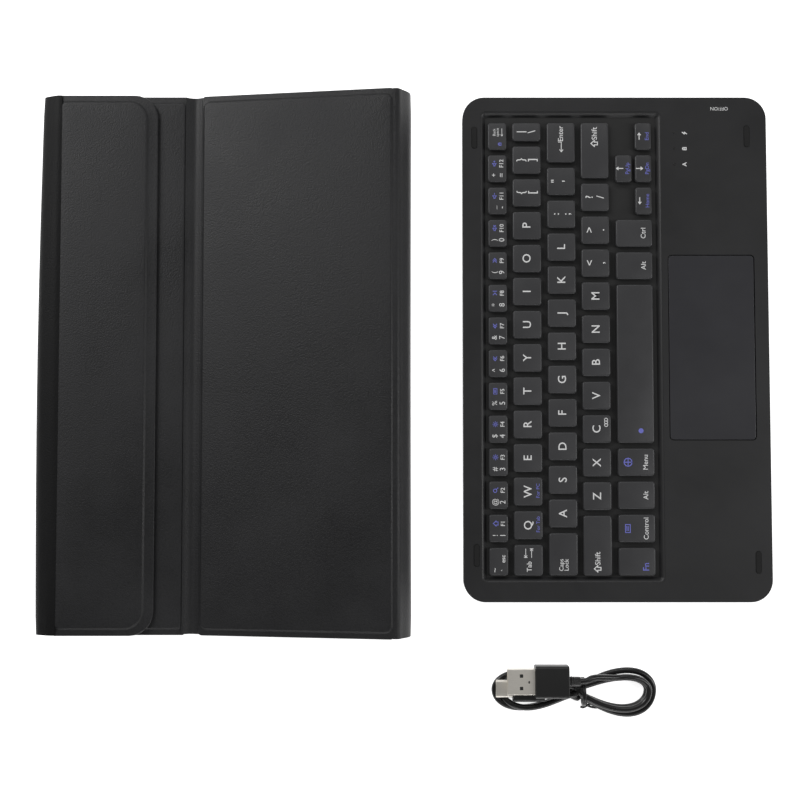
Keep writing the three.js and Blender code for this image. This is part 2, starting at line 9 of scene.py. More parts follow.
import bmesh
import bpy
from mathutils import Matrix, Vector
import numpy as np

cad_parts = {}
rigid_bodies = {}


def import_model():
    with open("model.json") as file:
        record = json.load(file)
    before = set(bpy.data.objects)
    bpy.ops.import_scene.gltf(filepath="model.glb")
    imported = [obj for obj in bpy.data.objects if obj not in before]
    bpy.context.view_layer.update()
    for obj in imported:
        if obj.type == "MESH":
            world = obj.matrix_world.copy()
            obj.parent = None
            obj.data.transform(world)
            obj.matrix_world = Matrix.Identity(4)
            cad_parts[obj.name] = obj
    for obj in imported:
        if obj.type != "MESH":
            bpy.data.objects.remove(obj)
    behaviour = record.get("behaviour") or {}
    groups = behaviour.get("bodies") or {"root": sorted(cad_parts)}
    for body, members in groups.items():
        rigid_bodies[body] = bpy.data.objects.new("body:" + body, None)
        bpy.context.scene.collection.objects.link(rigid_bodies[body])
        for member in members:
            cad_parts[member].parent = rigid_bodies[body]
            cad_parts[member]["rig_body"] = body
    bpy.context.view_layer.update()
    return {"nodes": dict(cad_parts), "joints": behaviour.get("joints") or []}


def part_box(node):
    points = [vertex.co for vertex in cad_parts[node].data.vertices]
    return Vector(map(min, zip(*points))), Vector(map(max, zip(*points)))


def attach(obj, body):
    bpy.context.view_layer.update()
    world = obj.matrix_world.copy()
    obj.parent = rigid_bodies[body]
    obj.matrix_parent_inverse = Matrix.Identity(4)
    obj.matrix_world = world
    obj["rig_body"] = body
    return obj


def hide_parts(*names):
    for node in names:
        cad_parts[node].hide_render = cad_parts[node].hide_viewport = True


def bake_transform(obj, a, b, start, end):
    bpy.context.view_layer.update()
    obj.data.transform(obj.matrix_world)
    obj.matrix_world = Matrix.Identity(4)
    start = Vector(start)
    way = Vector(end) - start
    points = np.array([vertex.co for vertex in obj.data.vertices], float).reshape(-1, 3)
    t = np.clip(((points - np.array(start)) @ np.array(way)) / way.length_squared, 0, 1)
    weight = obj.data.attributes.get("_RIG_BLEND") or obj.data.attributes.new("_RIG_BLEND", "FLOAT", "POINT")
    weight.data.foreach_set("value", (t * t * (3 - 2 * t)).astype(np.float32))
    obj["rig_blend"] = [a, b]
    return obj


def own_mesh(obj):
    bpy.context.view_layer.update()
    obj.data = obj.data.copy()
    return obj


MM = 0.001
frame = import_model()
scene = bpy.context.scene


def corner_box(node):
    """Lowest and highest corner of a CAD node, in millimetres."""
    low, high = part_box(node)
    return low / MM, high / MM


# ---------------------------------------------------------------- camera, light and floor
AIM = Vector((-3.0, -17.8, 0.0)) * MM
CAMERA_DISTANCE = 0.600
CAMERA_TILT = math.radians(3.0)
FOCAL_LENGTH = 55.4
SENSOR_WIDTH = 36.0
ROOM_LIGHT = 0.16
FLOOR_REACH = 3.0
FLOOR_GLOW = 0.85
# name, place, aim, width, depth, power in watts
SOFTBOXES = (
    ("softbox_left", (-0.75, 0.55, 0.75), (0, 0, 0), 0.25, 0.8, 6.2),
    ("softbox_right", (0.95, -0.05, 0.65), (0, 0, 0), 0.25, 0.8, 3.8),
    ("softbox_near", (0.1, -1.0, 0.42), (0, -0.1, 0), 1.2, 0.2, 3.4),
    ("softbox_far", (0.0, 1.0, 0.85), (0, 0.05, 0), 1.3, 0.35, 3.9),
)


def camera_and_studio():
    data = bpy.data.cameras.new("camera")
    data.lens = FOCAL_LENGTH
    data.sensor_width = SENSOR_WIDTH
    camera = bpy.data.objects.new("camera", data)
    away = Vector((0, -math.sin(CAMERA_TILT), math.cos(CAMERA_TILT)))
    camera.location = AIM + CAMERA_DISTANCE * away
    camera.rotation_euler = (CAMERA_TILT, 0, 0)
    scene.collection.objects.link(camera)
    scene.camera = camera

    world = bpy.data.worlds.new("studio")
    world.use_nodes = True
    background = world.node_tree.nodes["Background"]
    background.inputs["Color"].default_value = (1, 1, 1, 1)
    background.inputs["Strength"].default_value = ROOM_LIGHT
    scene.world = world
    scene.view_settings.view_transform = "Standard"

    for name, place, aim, width, depth, power in SOFTBOXES:
        light = bpy.data.lights.new(name, "AREA")
        light.shape = "RECTANGLE"
        light.size, light.size_y = width, depth
        light.energy = power
        lamp = bpy.data.objects.new(name, light)
        lamp.location = place
        facing = Vector(aim) - Vector(place)
        lamp.rotation_euler = facing.to_track_quat("-Z", "Y").to_euler()
        scene.collection.objects.link(lamp)


def floor():
    corners = [(-1, -1), (1, -1), (1, 1), (-1, 1)]
    mesh = bpy.data.meshes.new("floor")
    mesh.from_pydata([(x * FLOOR_REACH, y * FLOOR_REACH, -0.1 * MM) for x, y in corners], [], [(0, 1, 2, 3)])
    material = bpy.data.materials.new("white_sweep")
    material.use_nodes = True
    shader = material.node_tree.nodes["Principled BSDF"]
    shader.inputs["Base Color"].default_value = (0.95, 0.95, 0.95, 1)
    shader.inputs["Roughness"].default_value = 0.9
    shader.inputs["Emission Color"].default_value = (1, 1, 1, 1)
    shader.inputs["Emission Strength"].default_value = FLOOR_GLOW
    mesh.materials.append(material)
    obj = bpy.data.objects.new("floor", mesh)
    scene.collection.objects.link(obj)


# ---------------------------------------------------------------- node groups and materials
def new_group(name, inputs, outputs):
    group = bpy.data.node_groups.new(name, "ShaderNodeTree")
    for label, kind, value in inputs:
        socket = group.interface.new_socket(label, in_out="INPUT", socket_type=kind)
        if value is not None:
            socket.default_value = value
    for label, kind in outputs:
        group.interface.new_socket(label, in_out="OUTPUT", socket_type=kind)
    return group, group.nodes.new("NodeGroupInput"), group.nodes.new("NodeGroupOutput")


def math_node(tree, operation, a, b=None, clamp=False):
    node = tree.nodes.new("ShaderNodeMath")
    node.operation = operation
    node.use_clamp = clamp
    for socket, value in zip(node.inputs, (a, b)):
        if value is None:
            continue
        if isinstance(value, (int, float)):
            socket.default_value = value
        else:
            tree.links.new(value, socket)
    return node.outputs[0]


def noise(tree, vector, scale, detail=3.0, roughness=0.5):
    node = tree.nodes.new("ShaderNodeTexNoise")
    tree.links.new(vector, node.inputs["Vector"])
    if isinstance(scale, (int, float)):
        node.inputs["Scale"].default_value = scale
    else:
        tree.links.new(scale, node.inputs["Scale"])
    node.inputs["Detail"].default_value = detail
    node.inputs["Roughness"].default_value = roughness
    return node.outputs["Fac"]


def leather_grain_group():
    """Fine pebbled grain: rounded cells broken up by creases, with slow waves under them, and a mask of the
    hollows between pebbles that darkens the colour as painted shade.
    """
    group, given, made = new_group(
        "leather_grain",
        [("Vector", "NodeSocketVector", None), ("Pebbles per Metre", "NodeSocketFloat", 1500.0),
         ("Waviness", "NodeSocketFloat", 0.6)],
        [("Height", "NodeSocketFloat"), ("Hollow Shade", "NodeSocketFloat")],
    )
    links = group.links
    cells = group.nodes.new("ShaderNodeTexVoronoi")
    cells.feature = "SMOOTH_F1"
    links.new(given.outputs["Vector"], cells.inputs["Vector"])
    links.new(given.outputs["Pebbles per Metre"], cells.inputs["Scale"])
    cells.inputs["Smoothness"].default_value = 0.6
    creases = noise(group, given.outputs["Vector"], 900.0, 4.0, 0.6)
    waves = noise(group, given.outputs["Vector"], 60.0, 2.0)
    pebble = math_node(group, "SUBTRACT", 1.0, cells.outputs["Distance"])
    rough = math_node(group, "MULTIPLY", creases, 0.8)
    slow = math_node(group, "MULTIPLY", waves, given.outputs["Waviness"])
    height = math_node(group, "ADD", math_node(group, "ADD", pebble, rough), slow)
    links.new(height, made.inputs["Height"])
    # Mask of the hollows between pebbles, used to paint shade into the leather's colour.
    hollow_shade = math_node(group, "MULTIPLY", cells.outputs["Distance"], creases, clamp=True)
    links.new(hollow_shade, made.inputs["Hollow Shade"])
    return group


def moulded_grain_group():
    """Spark-eroded texture of a moulded plastic shell."""
    group, given, made = new_group(
        "moulded_grain",
        [("Vector", "NodeSocketVector", None), ("Grains per Metre", "NodeSocketFloat", 5000.0)],
        [("Height", "NodeSocketFloat"), ("Speckle", "NodeSocketFloat")],
    )
    fine = noise(group, given.outputs["Vector"], given.outputs["Grains per Metre"], 2.0, 0.6)
    broad = noise(group, given.outputs["Vector"], 180.0, 3.0)
    group.links.new(fine, made.inputs["Height"])
    speckle = math_node(group, "ADD", math_node(group, "MULTIPLY", fine, 0.7),
                        math_node(group, "MULTIPLY", broad, 0.3))
    group.links.new(speckle, made.inputs["Speckle"])
    return group


def handling_group():
    """Faint smudges and rubbed patches: tone near 1 to tint a colour, and shine to lift roughness."""
    group, given, made = new_group(
        "handling",
        [("Vector", "NodeSocketVector", None), ("Patches per Metre", "NodeSocketFloat", 22.0),
         ("Base Roughness", "NodeSocketFloat", 0.5), ("Spread", "NodeSocketFloat", 0.1)],
        [("Tone", "NodeSocketFloat"), ("Roughness", "NodeSocketFloat")],
    )
    patches = noise(group, given.outputs["Vector"], given.outputs["Patches per Metre"], 5.0, 0.55)
    centred = math_node(group, "SUBTRACT", patches, 0.5)
    group.links.new(math_node(group, "ADD", math_node(group, "MULTIPLY", centred, 0.5), 0.5),
                    made.inputs["Tone"])
    spread = math_node(group, "MULTIPLY", centred, given.outputs["Spread"])
    doubled = math_node(group, "MULTIPLY", spread, 2.0)
    group.links.new(math_node(group, "ADD", doubled, given.outputs["Base Roughness"], clamp=True),
                    made.inputs["Roughness"])
    return group


GROUPS = {"leather": leather_grain_group(), "moulded": moulded_grain_group(), "handling": handling_group()}


def start_material(name):
    material = bpy.data.materials.new(name)
    material.use_nodes = True
    tree = material.node_tree
    shader = tree.nodes["Principled BSDF"]
    place = tree.nodes.new("ShaderNodeTexCoord").outputs["Object"]
    return material, tree, shader, place


def use_group(tree, key, vector, **values):
    node = tree.nodes.new("ShaderNodeGroup")
    node.node_tree = GROUPS[key]
    tree.links.new(vector, node.inputs["Vector"])
    for label, value in values.items():
        node.inputs[label.replace("_", " ")].default_value = value
    return node


def tint(tree, factor, dark, light):
    mix = tree.nodes.new("ShaderNodeMix")
    mix.data_type = "RGBA"
    tree.links.new(factor, mix.inputs["Factor"])
    mix.inputs["A"].default_value = (*dark, 1)
    mix.inputs["B"].default_value = (*light, 1)
    return mix.outputs["Result"]


def bump(tree, shader, height, distance, strength=1.0):
    node = tree.nodes.new("ShaderNodeBump")
    node.inputs["Strength"].default_value = strength
    node.inputs["Distance"].default_value = distance
    tree.links.new(height, node.inputs["Height"])
    tree.links.new(node.outputs["Normal"], shader.inputs["Normal"])


def leather(name, dark, light, roughness, specular=0.36):
    material, tree, shader, place = start_material(name)
    grain = use_group(tree, "leather", place)
    wear = use_group(tree, "handling", place, Base_Roughness=roughness, Spread=0.16)
    # The colour varies at random with the handling patches and is darkened in the grain's hollows as painted
    # shade.
    mixed = math_node(tree, "SUBTRACT", wear.outputs["Tone"],
                      math_node(tree, "MULTIPLY", grain.outputs["Hollow Shade"], 0.5), clamp=True)
    tree.links.new(tint(tree, mixed, dark, light), shader.inputs["Base Color"])
    tree.links.new(wear.outputs["Roughness"], shader.inputs["Roughness"])
    shader.inputs["Specular IOR Level"].default_value = specular
    bump(tree, shader, grain.outputs["Height"], 0.0001, 0.8)
    return material


def moulded(name, dark, light, roughness, grains=5000.0, depth=0.00002, strength=0.4, gloss=0.0):
    material, tree, shader, place = start_material(name)
    grain = use_group(tree, "moulded", place, Grains_per_Metre=grains)
    wear = use_group(tree, "handling", place, Base_Roughness=roughness, Spread=0.12)
    mixed = math_node(tree, "MULTIPLY", grain.outputs["Speckle"],
                      math_node(tree, "MULTIPLY", wear.outputs["Tone"], 2.0), clamp=True)
    tree.links.new(tint(tree, mixed, dark, light), shader.inputs["Base Color"])
    tree.links.new(wear.outputs["Roughness"], shader.inputs["Roughness"])
    shader.inputs["Coat Weight"].default_value = gloss
    shader.inputs["Coat Roughness"].default_value = 0.08
    bump(tree, shader, grain.outputs["Height"], depth, strength)
    return material


def metal(name, dark, light, roughness, metallic=1.0):
    """Plated sheet steel with fine drawing marks along X."""
    material, tree, shader, place = start_material(name)
    stretch = tree.nodes.new("ShaderNodeMapping")
    stretch.inputs["Scale"].default_value = (0.06, 1.0, 1.0)
    tree.links.new(place, stretch.inputs["Vector"])
    marks = use_group(tree, "moulded", stretch.outputs["Vector"], Grains_per_Metre=6000.0)
    wear = use_group(tree, "handling", place, Base_Roughness=roughness, Spread=0.2)
    tree.links.new(tint(tree, marks.outputs["Speckle"], dark, light), shader.inputs["Base Color"])
    tree.links.new(wear.outputs["Roughness"], shader.inputs["Roughness"])
    shader.inputs["Metallic"].default_value = metallic
    bump(tree, shader, marks.outputs["Height"], 0.00001, 0.25)
    return material


def ink(name, dark, light):
    """Printed legend with slightly uneven coverage."""
    material, tree, shader, place = start_material(name)
    coverage = noise(tree, place, 3000.0, 2.0)
    tree.links.new(tint(tree, coverage, dark, light), shader.inputs["Base Color"])
    shader.inputs["Roughness"].default_value = 0.5
    return material


def grey(value, blue=0.0):
    return (value, value, value * (1 + blue))


LEATHER = leather("folio_leather", grey(0.003, 0.07), grey(0.034, 0.07), 0.48)
# The left spine's leather is a darker, less shiny copy of the folio leather: painted shade for the steep fold
# that faces away from the light.
SHADED_SPINE_LEATHER = leather("spine_leather_painted_shade", grey(0.002, 0.07), grey(0.008, 0.07), 0.55, 0.2)
LINING = moulded("brushed_lining", grey(0.012), grey(0.035, 0.1), 0.95, 2600.0, 0.00012, 0.8)
PRESSED_BOARD = moulded("pressed_board", (0.16, 0.14, 0.11), (0.3, 0.27, 0.22), 0.95, 1500.0,
                        0.00008, 0.5)
SHELL_PLASTIC = moulded("keyboard_shell", grey(0.008, 0.04), grey(0.020, 0.06), 0.45)
WELL_PLASTIC = moulded("key_well", grey(0.004), grey(0.010), 0.6)
TRAY_PLASTIC = moulded("tray_plastic", grey(0.012), grey(0.025), 0.55, 3500.0, 0.00004, 0.5)
KEY_TOP = moulded("key_top", grey(0.024, 0.05), grey(0.052, 0.06), 0.42, 7000.0, 0.00001, 0.3)
# Keycap sides and rims are a lighter grey than the tops: painted highlight for the bright rims that the
# glossy edges catch. The gloss itself comes from the coat and the low roughness.
KEY_SIDE_PAINTED_HIGHLIGHT = moulded("key_side_painted_highlight", grey(0.04), grey(0.07), 0.16, 7000.0, 0.000005, 0.05, 1.0)
PAD_FINISH = moulded("touchpad_film", grey(0.022, 0.12), grey(0.032, 0.16), 0.33, 9000.0, 0.000005, 0.2)
RUBBER = moulded("bumper_rubber", grey(0.002), grey(0.005), 0.85, 3000.0, 0.00003, 0.5)
JACKET = moulded("cable_jacket", grey(0.006), grey(0.012), 0.28, 2500.0, 0.000015, 0.3)
PLUG_BODY = moulded("plug_moulding", grey(0.007), grey(0.015), 0.4, 4000.0, 0.00002, 0.4)
NICKEL = metal("plated_shell", (0.66, 0.62, 0.56), (0.9, 0.87, 0.8), 0.34, 0.6)
STEEL = metal("steel_sheet", (0.35, 0.35, 0.36), (0.6, 0.6, 0.61), 0.4)
BOARD_GREEN = moulded("circuit_board_mask", (0.01, 0.07, 0.03), (0.02, 0.14, 0.06), 0.4)
FOIL = moulded("cell_foil", grey(0.35), grey(0.55), 0.35, 1200.0, 0.00005, 0.4)
LENS = moulded("lamp_lens", grey(0.02), grey(0.04), 0.25)
WHITE_INK = ink("white_ink", grey(0.62), grey(0.85))
BLUE_INK = ink("blue_ink", (0.12, 0.13, 0.46), (0.20, 0.21, 0.68))


# ---------------------------------------------------------------- mesh helpers
def mesh_object(name, mesh, materials, smooth_angle=35.0):
    """Finished object at the origin, with smooth faces up to smooth_angle."""
    for material in materials:
        mesh.materials.append(material)
    mesh.shade_smooth()
    mesh.set_sharp_from_angle(angle=math.radians(smooth_angle))
    obj = bpy.data.objects.new(name, mesh)
    scene.collection.objects.link(obj)
    return obj


def flat_mesh(name, points, faces):
    """Mesh from points in millimetres, with its faces as they are given."""
    mesh = bpy.data.meshes.new(name)
    mesh.from_pydata([Vector(p) * MM for p in points], [], faces)
    return mesh


def solid_mesh(name, points, faces, merge=0.0):
    """Closed mesh whose faces point outwards. Points nearer than merge millimetres become one."""
    mesh = flat_mesh(name, points, faces)
    mesh.update()
    shape = bmesh.new()
    shape.from_mesh(mesh)
    if merge:
        bmesh.ops.remove_doubles(shape, verts=shape.verts, dist=merge * MM)
    bmesh.ops.recalc_face_normals(shape, faces=shape.faces)
    shape.to_mesh(mesh)
    shape.free()
    return mesh


def rounded_ring(low, high, radii, inset, z, steps=7):
    """Points round a rectangle with four corner radii (low-low, high-low, high-high, low-high)."""
    (x0, y0), (x1, y1) = (low[0] + inset, low[1] + inset), (high[0] - inset, high[1] - inset)
    ring = []
    corners = ((x0, y0, 1, 1, 180), (x1, y0, -1, 1, 270), (x1, y1, -1, -1, 0), (x0, y1, 1, -1, 90))
    for (x, y, sx, sy, start), radius in zip(corners, radii):
        r = max(radius - inset, 0.15)
        for i in range(steps + 1):
            a = math.radians(start + 90 * i / steps)
            ring.append((x + sx * r + r * math.cos(a), y + sy * r + r * math.sin(a), z))
    return ring


def lofted(rings, closed=True, cap_start=True, cap_end=True):
    """Points and faces of a skin through rings that all have the same number of points."""
    count = len(rings[0])
    points = [p for ring in rings for p in ring]
    faces = []
    span = count if closed else count - 1
    for k in range(len(rings) - 1):
        for i in range(span):
            j = (i + 1) % count
            faces.append((k * count + i, k * count + j, (k + 1) * count + j, (k + 1) * count + i))
    if cap_start:
        faces.append(tuple(reversed(range(count))))
    if cap_end:
        faces.append(tuple(range((len(rings) - 1) * count, len(rings) * count)))
    return points, faces


def merged_copy(node, name):
    """Mesh of a CAD node with its doubled points merged and its flat faces cleaned."""
    mesh = frame["nodes"][node].data.copy()
    mesh.name = name
    mesh.materials.clear()
    shape = bmesh.new()
    shape.from_mesh(mesh)
    bmesh.ops.remove_doubles(shape, verts=shape.verts, dist=0.005 * MM)
    bmesh.ops.dissolve_limit(shape, angle_limit=math.radians(1.0), verts=shape.verts, edges=shape.edges)
    shape.to_mesh(mesh)
    shape.free()
    for label in [a.name for a in mesh.attributes if a.name.startswith("custom_normal")]:
        mesh.attributes.remove(mesh.attributes[label])
    return mesh


def evaluated_mesh(obj):
    """The mesh that an object's curve or modifiers make."""
    bpy.context.view_layer.update()
    return bpy.data.meshes.new_from_object(obj.evaluated_get(bpy.context.evaluated_depsgraph_get()))


def taken_mesh(name, data, nodes_tree=None, values=None):
    """The mesh that a curve, or a Geometry Nodes tree with these inputs, makes on a passing object."""
    holder = bpy.data.objects.new(name, data)
    scene.collection.objects.link(holder)
    if nodes_tree:
        modifier = holder.modifiers.new("shape", "NODES")
        modifier.node_group = nodes_tree
        for identifier, value in values.items():
            modifier[identifier] = value
    mesh = evaluated_mesh(holder)
    bpy.data.objects.remove(holder)
    return mesh


def smooth_line(spots, steps):
    """Points of a Catmull-Rom spline through the spots, with this many steps between two of them."""
    line = []
    last = len(spots) - 1
    for i in range(last):
        a, b, c, d = spots[max(i - 1, 0)], spots[i], spots[i + 1], spots[min(i + 2, last)]
        for t in (k / steps for k in range(steps)):
            line.append(0.5 * ((2 * b) + (c - a) * t + (2 * a - 5 * b + 4 * c - d) * t * t
                               + (3 * b - a - 3 * c + d) * t ** 3))
    return line + [spots[-1]]


def softened(node, name, materials, slot, body, width, segments=3, angle=35.0):
    """A CAD node's shape with its hard edges rounded over."""
    obj = mesh_object(name, merged_copy(node, name), materials)
    edge = obj.modifiers.new("edge_round", "BEVEL")
    edge.width = width * MM
    edge.segments = segments
    edge.limit_method = "ANGLE"
    edge.angle_limit = math.radians(angle)
    edge.harden_normals = True
    mesh = evaluated_mesh(obj)
    obj.modifiers.clear()
    obj.data = mesh
    return standing_for(obj, node, body)


def standing_for(obj, node, body):
    """Puts a finished piece in a CAD node's place, on the body that carries it."""
    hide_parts(node)
    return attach(obj, body)


def paint(material, *nodes):
    """Gives CAD nodes that are kept as they are their finish."""
    for node in nodes:
        obj = frame["nodes"][node]
        obj.data.materials.clear()
        obj.data.materials.append(material)


# ---------------------------------------------------------------- folio leather
# Profile of a panel from its outer edge in: (share of the way from edge to board, height share).
EDGE_ROLL = ((0.9, 0.0), (0.35, 0.08), (0.08, 0.3), (0.0, 0.55), (0.1, 0.82), (0.4, 0.97), (0.8, 1.0))
BOARD_STEP = ((0.0, 0.0), (0.3, 0.12), (0.6, 0.42), (0.85, 0.8), (1.15, 0.96), (1.6, 1.0))
EDGE_ROLL_WIDTH = 0.9
BOARD_STEP_WIDTH = 1.15
BOARD_CROWN = ((6.0, 0.10), (16.0, 0.16))
STAND_SLOPE = math.radians(9.0)
FOLD_THICKNESS = 0.9


def leather_panel(name, node, body, borders, radii, board_radii, border_top, upward=True, lean=None):
    """Leather folded round a board: a thin pressed border, then the raised outline of the board.

    borders are the border's widths at -X, +X, -Y and +Y. lean undoes a node's slope while it is made.
    """
    low, high = local_box(node, lean) if lean else corner_box(node)
    foot, top = (low.z, high.z) if upward else (high.z, low.z)
    sense = 1 if upward else -1
    rim = foot + sense * border_top
    crown = BOARD_CROWN[-1][1]
    rings = [rounded_ring(low, high, radii, EDGE_ROLL_WIDTH * share, foot + (rim - foot) * height)
             for share, height in EDGE_ROLL]
    inner_low = (low.x + borders[0], low.y + borders[2])
    inner_high = (high.x - borders[1], high.y - borders[3])
    rings += [rounded_ring(inner_low, inner_high, board_radii, share * BOARD_STEP_WIDTH,
                           rim + (top - sense * crown - rim) * height) for share, height in BOARD_STEP]
    rings += [rounded_ring(inner_low, inner_high, board_radii, inset, top - sense * (crown - rise))
              for inset, rise in BOARD_CROWN]
    obj = mesh_object(name, solid_mesh(name, *lofted(rings)), [LEATHER], 60.0)
    if lean:
        obj.data.transform(lean)
    return standing_for(obj, node, body)


def stand_lean():
    """The matrix that lays the stand panel at its slope, about the crease's hinge line."""
    hinge = [j for j in frame["joints"] if j["name"] == "crease_fold"][0]["pos_m"]
    return Matrix.Translation(hinge) @ Matrix.Rotation(-STAND_SLOPE, 4, "Y")


def local_box(node, lean):
    """Corners of a leaning node in its own level frame, in millimetres."""
    inverse = lean.inverted()
    points = [inverse @ v.co for v in frame["nodes"][node].data.vertices]
    low = Vector([min(p[i] for p in points) for i in range(3)]) / MM
    high = Vector([max(p[i] for p in points) for i in range(3)]) / MM
    return low, high


def folio_panels():
    leather_panel("flap_leather", "flap_skin", "flap", (0.9, 4.3, 2.6, 2.6), (2, 11.5, 11.5, 2),
                  (3.5, 9.5, 9.5, 3.5), 1.15)
    leather_panel("strip_leather", "rear_skin", "tablet_cover", (2, 0.6, 2.4, 2.4), (3, 1, 1, 3),
                  (2.5, 3, 3, 2.5), 1.3)
    leather_panel("base_leather", "base_skin", "base_cover", (2.2, 2.2, 2.4, 2.4), (3, 3, 3, 3),
                  (4, 4, 4, 4), 1.3, upward=False)
    leather_panel("stand_leather", "stand_skin", "stand_panel", (0.5, 1.2, 2.4, 2.4), (2, 3, 3, 2),
                  (4, 4, 4, 4), 1.2, lean=stand_lean())


def soft_strip(name, section, thickness, y_low, y_high, material, bow=0.0):
    """Leather bent to a section in X and Z and run along Y. bow is how far its middle bulges."""
    steps = 30
    half = thickness / 2
    last = len(section) - 1
    normals = []
    for i in range(last + 1):
        (xa, za), (xb, zb) = section[max(i - 1, 0)], section[min(i + 1, last)]
        length = math.hypot(xb - xa, zb - za)
        normals.append((-(zb - za) / length, (xb - xa) / length))
    rings = []
    for k in range(steps + 1):
        share = k / steps
        y = y_low + (y_high - y_low) * share
        thin = half * (0.5 if k in (0, steps) else 1.0)
        swell = bow * math.sin(math.pi * (0.12 + 0.88 * share) ** 1.1)
        spread = [swell * math.sin(math.pi * i / last) ** 2 for i in range(last + 1)]
        around = list(zip(section, normals, spread))
        outer = [(x + n[0] * (thin + w), y, z + n[1] * (thin + w)) for (x, z), n, w in around]
        inner = [(x - n[0] * (thin - w), y, z - n[1] * (thin - w)) for (x, z), n, w in around]
        rings.append(outer + inner[::-1])
    return mesh_object(name, solid_mesh(name, *lofted(rings)), [material], 50.0)


def spine_fold(name, side, knots, material, bow):
    """A spine's leather through knots in X and Z, on the spine's body."""
    low, high = corner_box(f"{side}_spine_skin")
    section = [tuple(p) for p in smooth_line([Vector(k) for k in knots], 5)]
    fold = soft_strip(name, section, FOLD_THICKNESS, low.y + 0.3, high.y - 0.3, material, bow)
    standing_for(fold, f"{side}_spine_skin", f"{side}_spine")
    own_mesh(fold)


def folio_folds():
    """The three soft folds: the two spines lap over the edges of the panels that they join."""
    base_low, base_high = corner_box("base_skin")
    flap_low, flap_high = corner_box("flap_skin")
    out = corner_box("left_spine_skin")[0].x + FOLD_THICKNESS / 2
    # The left spine wears the darker copy of the leather, which is painted shade.
    spine_fold("left_fold_leather", "left", (
        (base_low.x + 1.4, base_low.z + 0.6), (base_low.x - 2.6, base_low.z + 1.3),
        (out + 0.7, 4.6), (out, 8.6), (out + 0.9, 12.4), (flap_low.x - 2.6, flap_high.z - 1.5),
        (flap_low.x + 0.2, flap_high.z - 0.42), (flap_low.x + 2.2, flap_high.z - 0.45),
    ), SHADED_SPINE_LEATHER, 1.5)

    stand_high = corner_box("stand_skin")[1]
    out = corner_box("right_spine_skin")[1].x - FOLD_THICKNESS / 2
    spine_fold("right_fold_leather", "right", (
        (base_high.x - 1.4, base_low.z + 0.6), (base_high.x + 3.2, base_low.z + 1.4),
        (out - 0.8, 7.0), (out, 13.5), (out - 0.6, 20.0), (stand_high.x + 2.6, stand_high.z - 4.0),
        (stand_high.x + 0.7, stand_high.z - 1.6), (stand_high.x - 1.6, stand_high.z - 1.5),
    ), LEATHER, 0.3)

    low, high = corner_box("crease_skin")
    depth, reach = 1.3, 1.5
    top = high.z + 0.55
    width = high.x - low.x + 2 * reach
    section = [(low.x - reach + width * t, top - depth * math.sin(math.pi * t) ** 1.5)
               for t in (i / 14 for i in range(15))]
    crease = soft_strip("crease_leather", section, 0.8, low.y + 0.6, high.y - 0.6, LEATHER)
    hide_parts("crease_skin")
    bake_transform(crease, "tablet_cover", "stand_panel", start=(low.x * MM, 0, top * MM),
             end=(high.x * MM, 0, top * MM))


def folio_insides():
    softened("tablet_tray", "tray_moulding", [TRAY_PLASTIC], "tray_plastic", "tablet_cover", 0.5, 2)
    for node in ("base_lining", "flap_lining", "stand_lining"):
        body = frame["nodes"][node]["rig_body"]
        softened(node, node.replace("lining", "suede"), [LINING], "lining", body, 0.2, 2)
    paint(PRESSED_BOARD, "base_board", "flap_board", "rear_board", "stand_board")
    paint(STEEL, "base_magnet_bar", "flap_magnet_bar", "catch_plate", "keyboard_magnet_bar")


# ---------------------------------------------------------------- keyboard
WELL_START, WELL_END = 8.7, 96.6
WELL_MARGIN_LOW, WELL_MARGIN_HIGH = 9.3, 6.9
WELL_CORNER = 2.9
# Section of the well's wall, as a closed loop: inset from the well's edge and height from the deck.
WELL_PROFILE = ((-0.25, -0.14), (0.3, -0.16), (0.9, -0.55), (1.6, -1.3), (2.2, -2.0), (2.6, -2.5),
                (2.2, -2.6), (0.6, -1.6), (-0.2, -0.5))
CAP_CORNER = 1.5
CAP_BEVEL = 0.6
# Rings of a keycap from its foot up: height share and inset share of the bevel.
CAP_PROFILE = ((0.0, 0.35), (0.10, 0.0), (0.72, 0.18), (0.86, 0.4), (0.96, 0.72), (1.0, 1.15))


def shape_tree(name, sizes):
    """Empty Geometry Nodes tree, its given and made nodes, and its size inputs' identifiers by label.

    sizes holds a label and a default for each input, a whole number for a count and metres for a size.
    """
    tree = bpy.data.node_groups.new(name, "GeometryNodeTree")
    tree.is_modifier = True
    tree.interface.new_socket("Geometry", in_out="INPUT", socket_type="NodeSocketGeometry")
    names = {}
    for label, value in sizes:
        kind = "NodeSocketInt" if isinstance(value, int) else "NodeSocketFloat"
        socket = tree.interface.new_socket(label, in_out="INPUT", socket_type=kind)
        socket.default_value = value
        names[label] = socket.identifier
    tree.interface.new_socket("Geometry", in_out="OUTPUT", socket_type="NodeSocketGeometry")
    return tree, tree.nodes.new("NodeGroupInput"), tree.nodes.new("NodeGroupOutput"), names


def set_material(tree, geometry, material):
    node = tree.nodes.new("GeometryNodeSetMaterial")
    node.inputs["Material"].default_value = material
    tree.links.new(geometry, node.inputs["Geometry"])
    return node


def realized(tree, geometry):
    node = tree.nodes.new("GeometryNodeRealizeInstances")
    tree.links.new(geometry, node.inputs[0])
    return node.outputs[0]


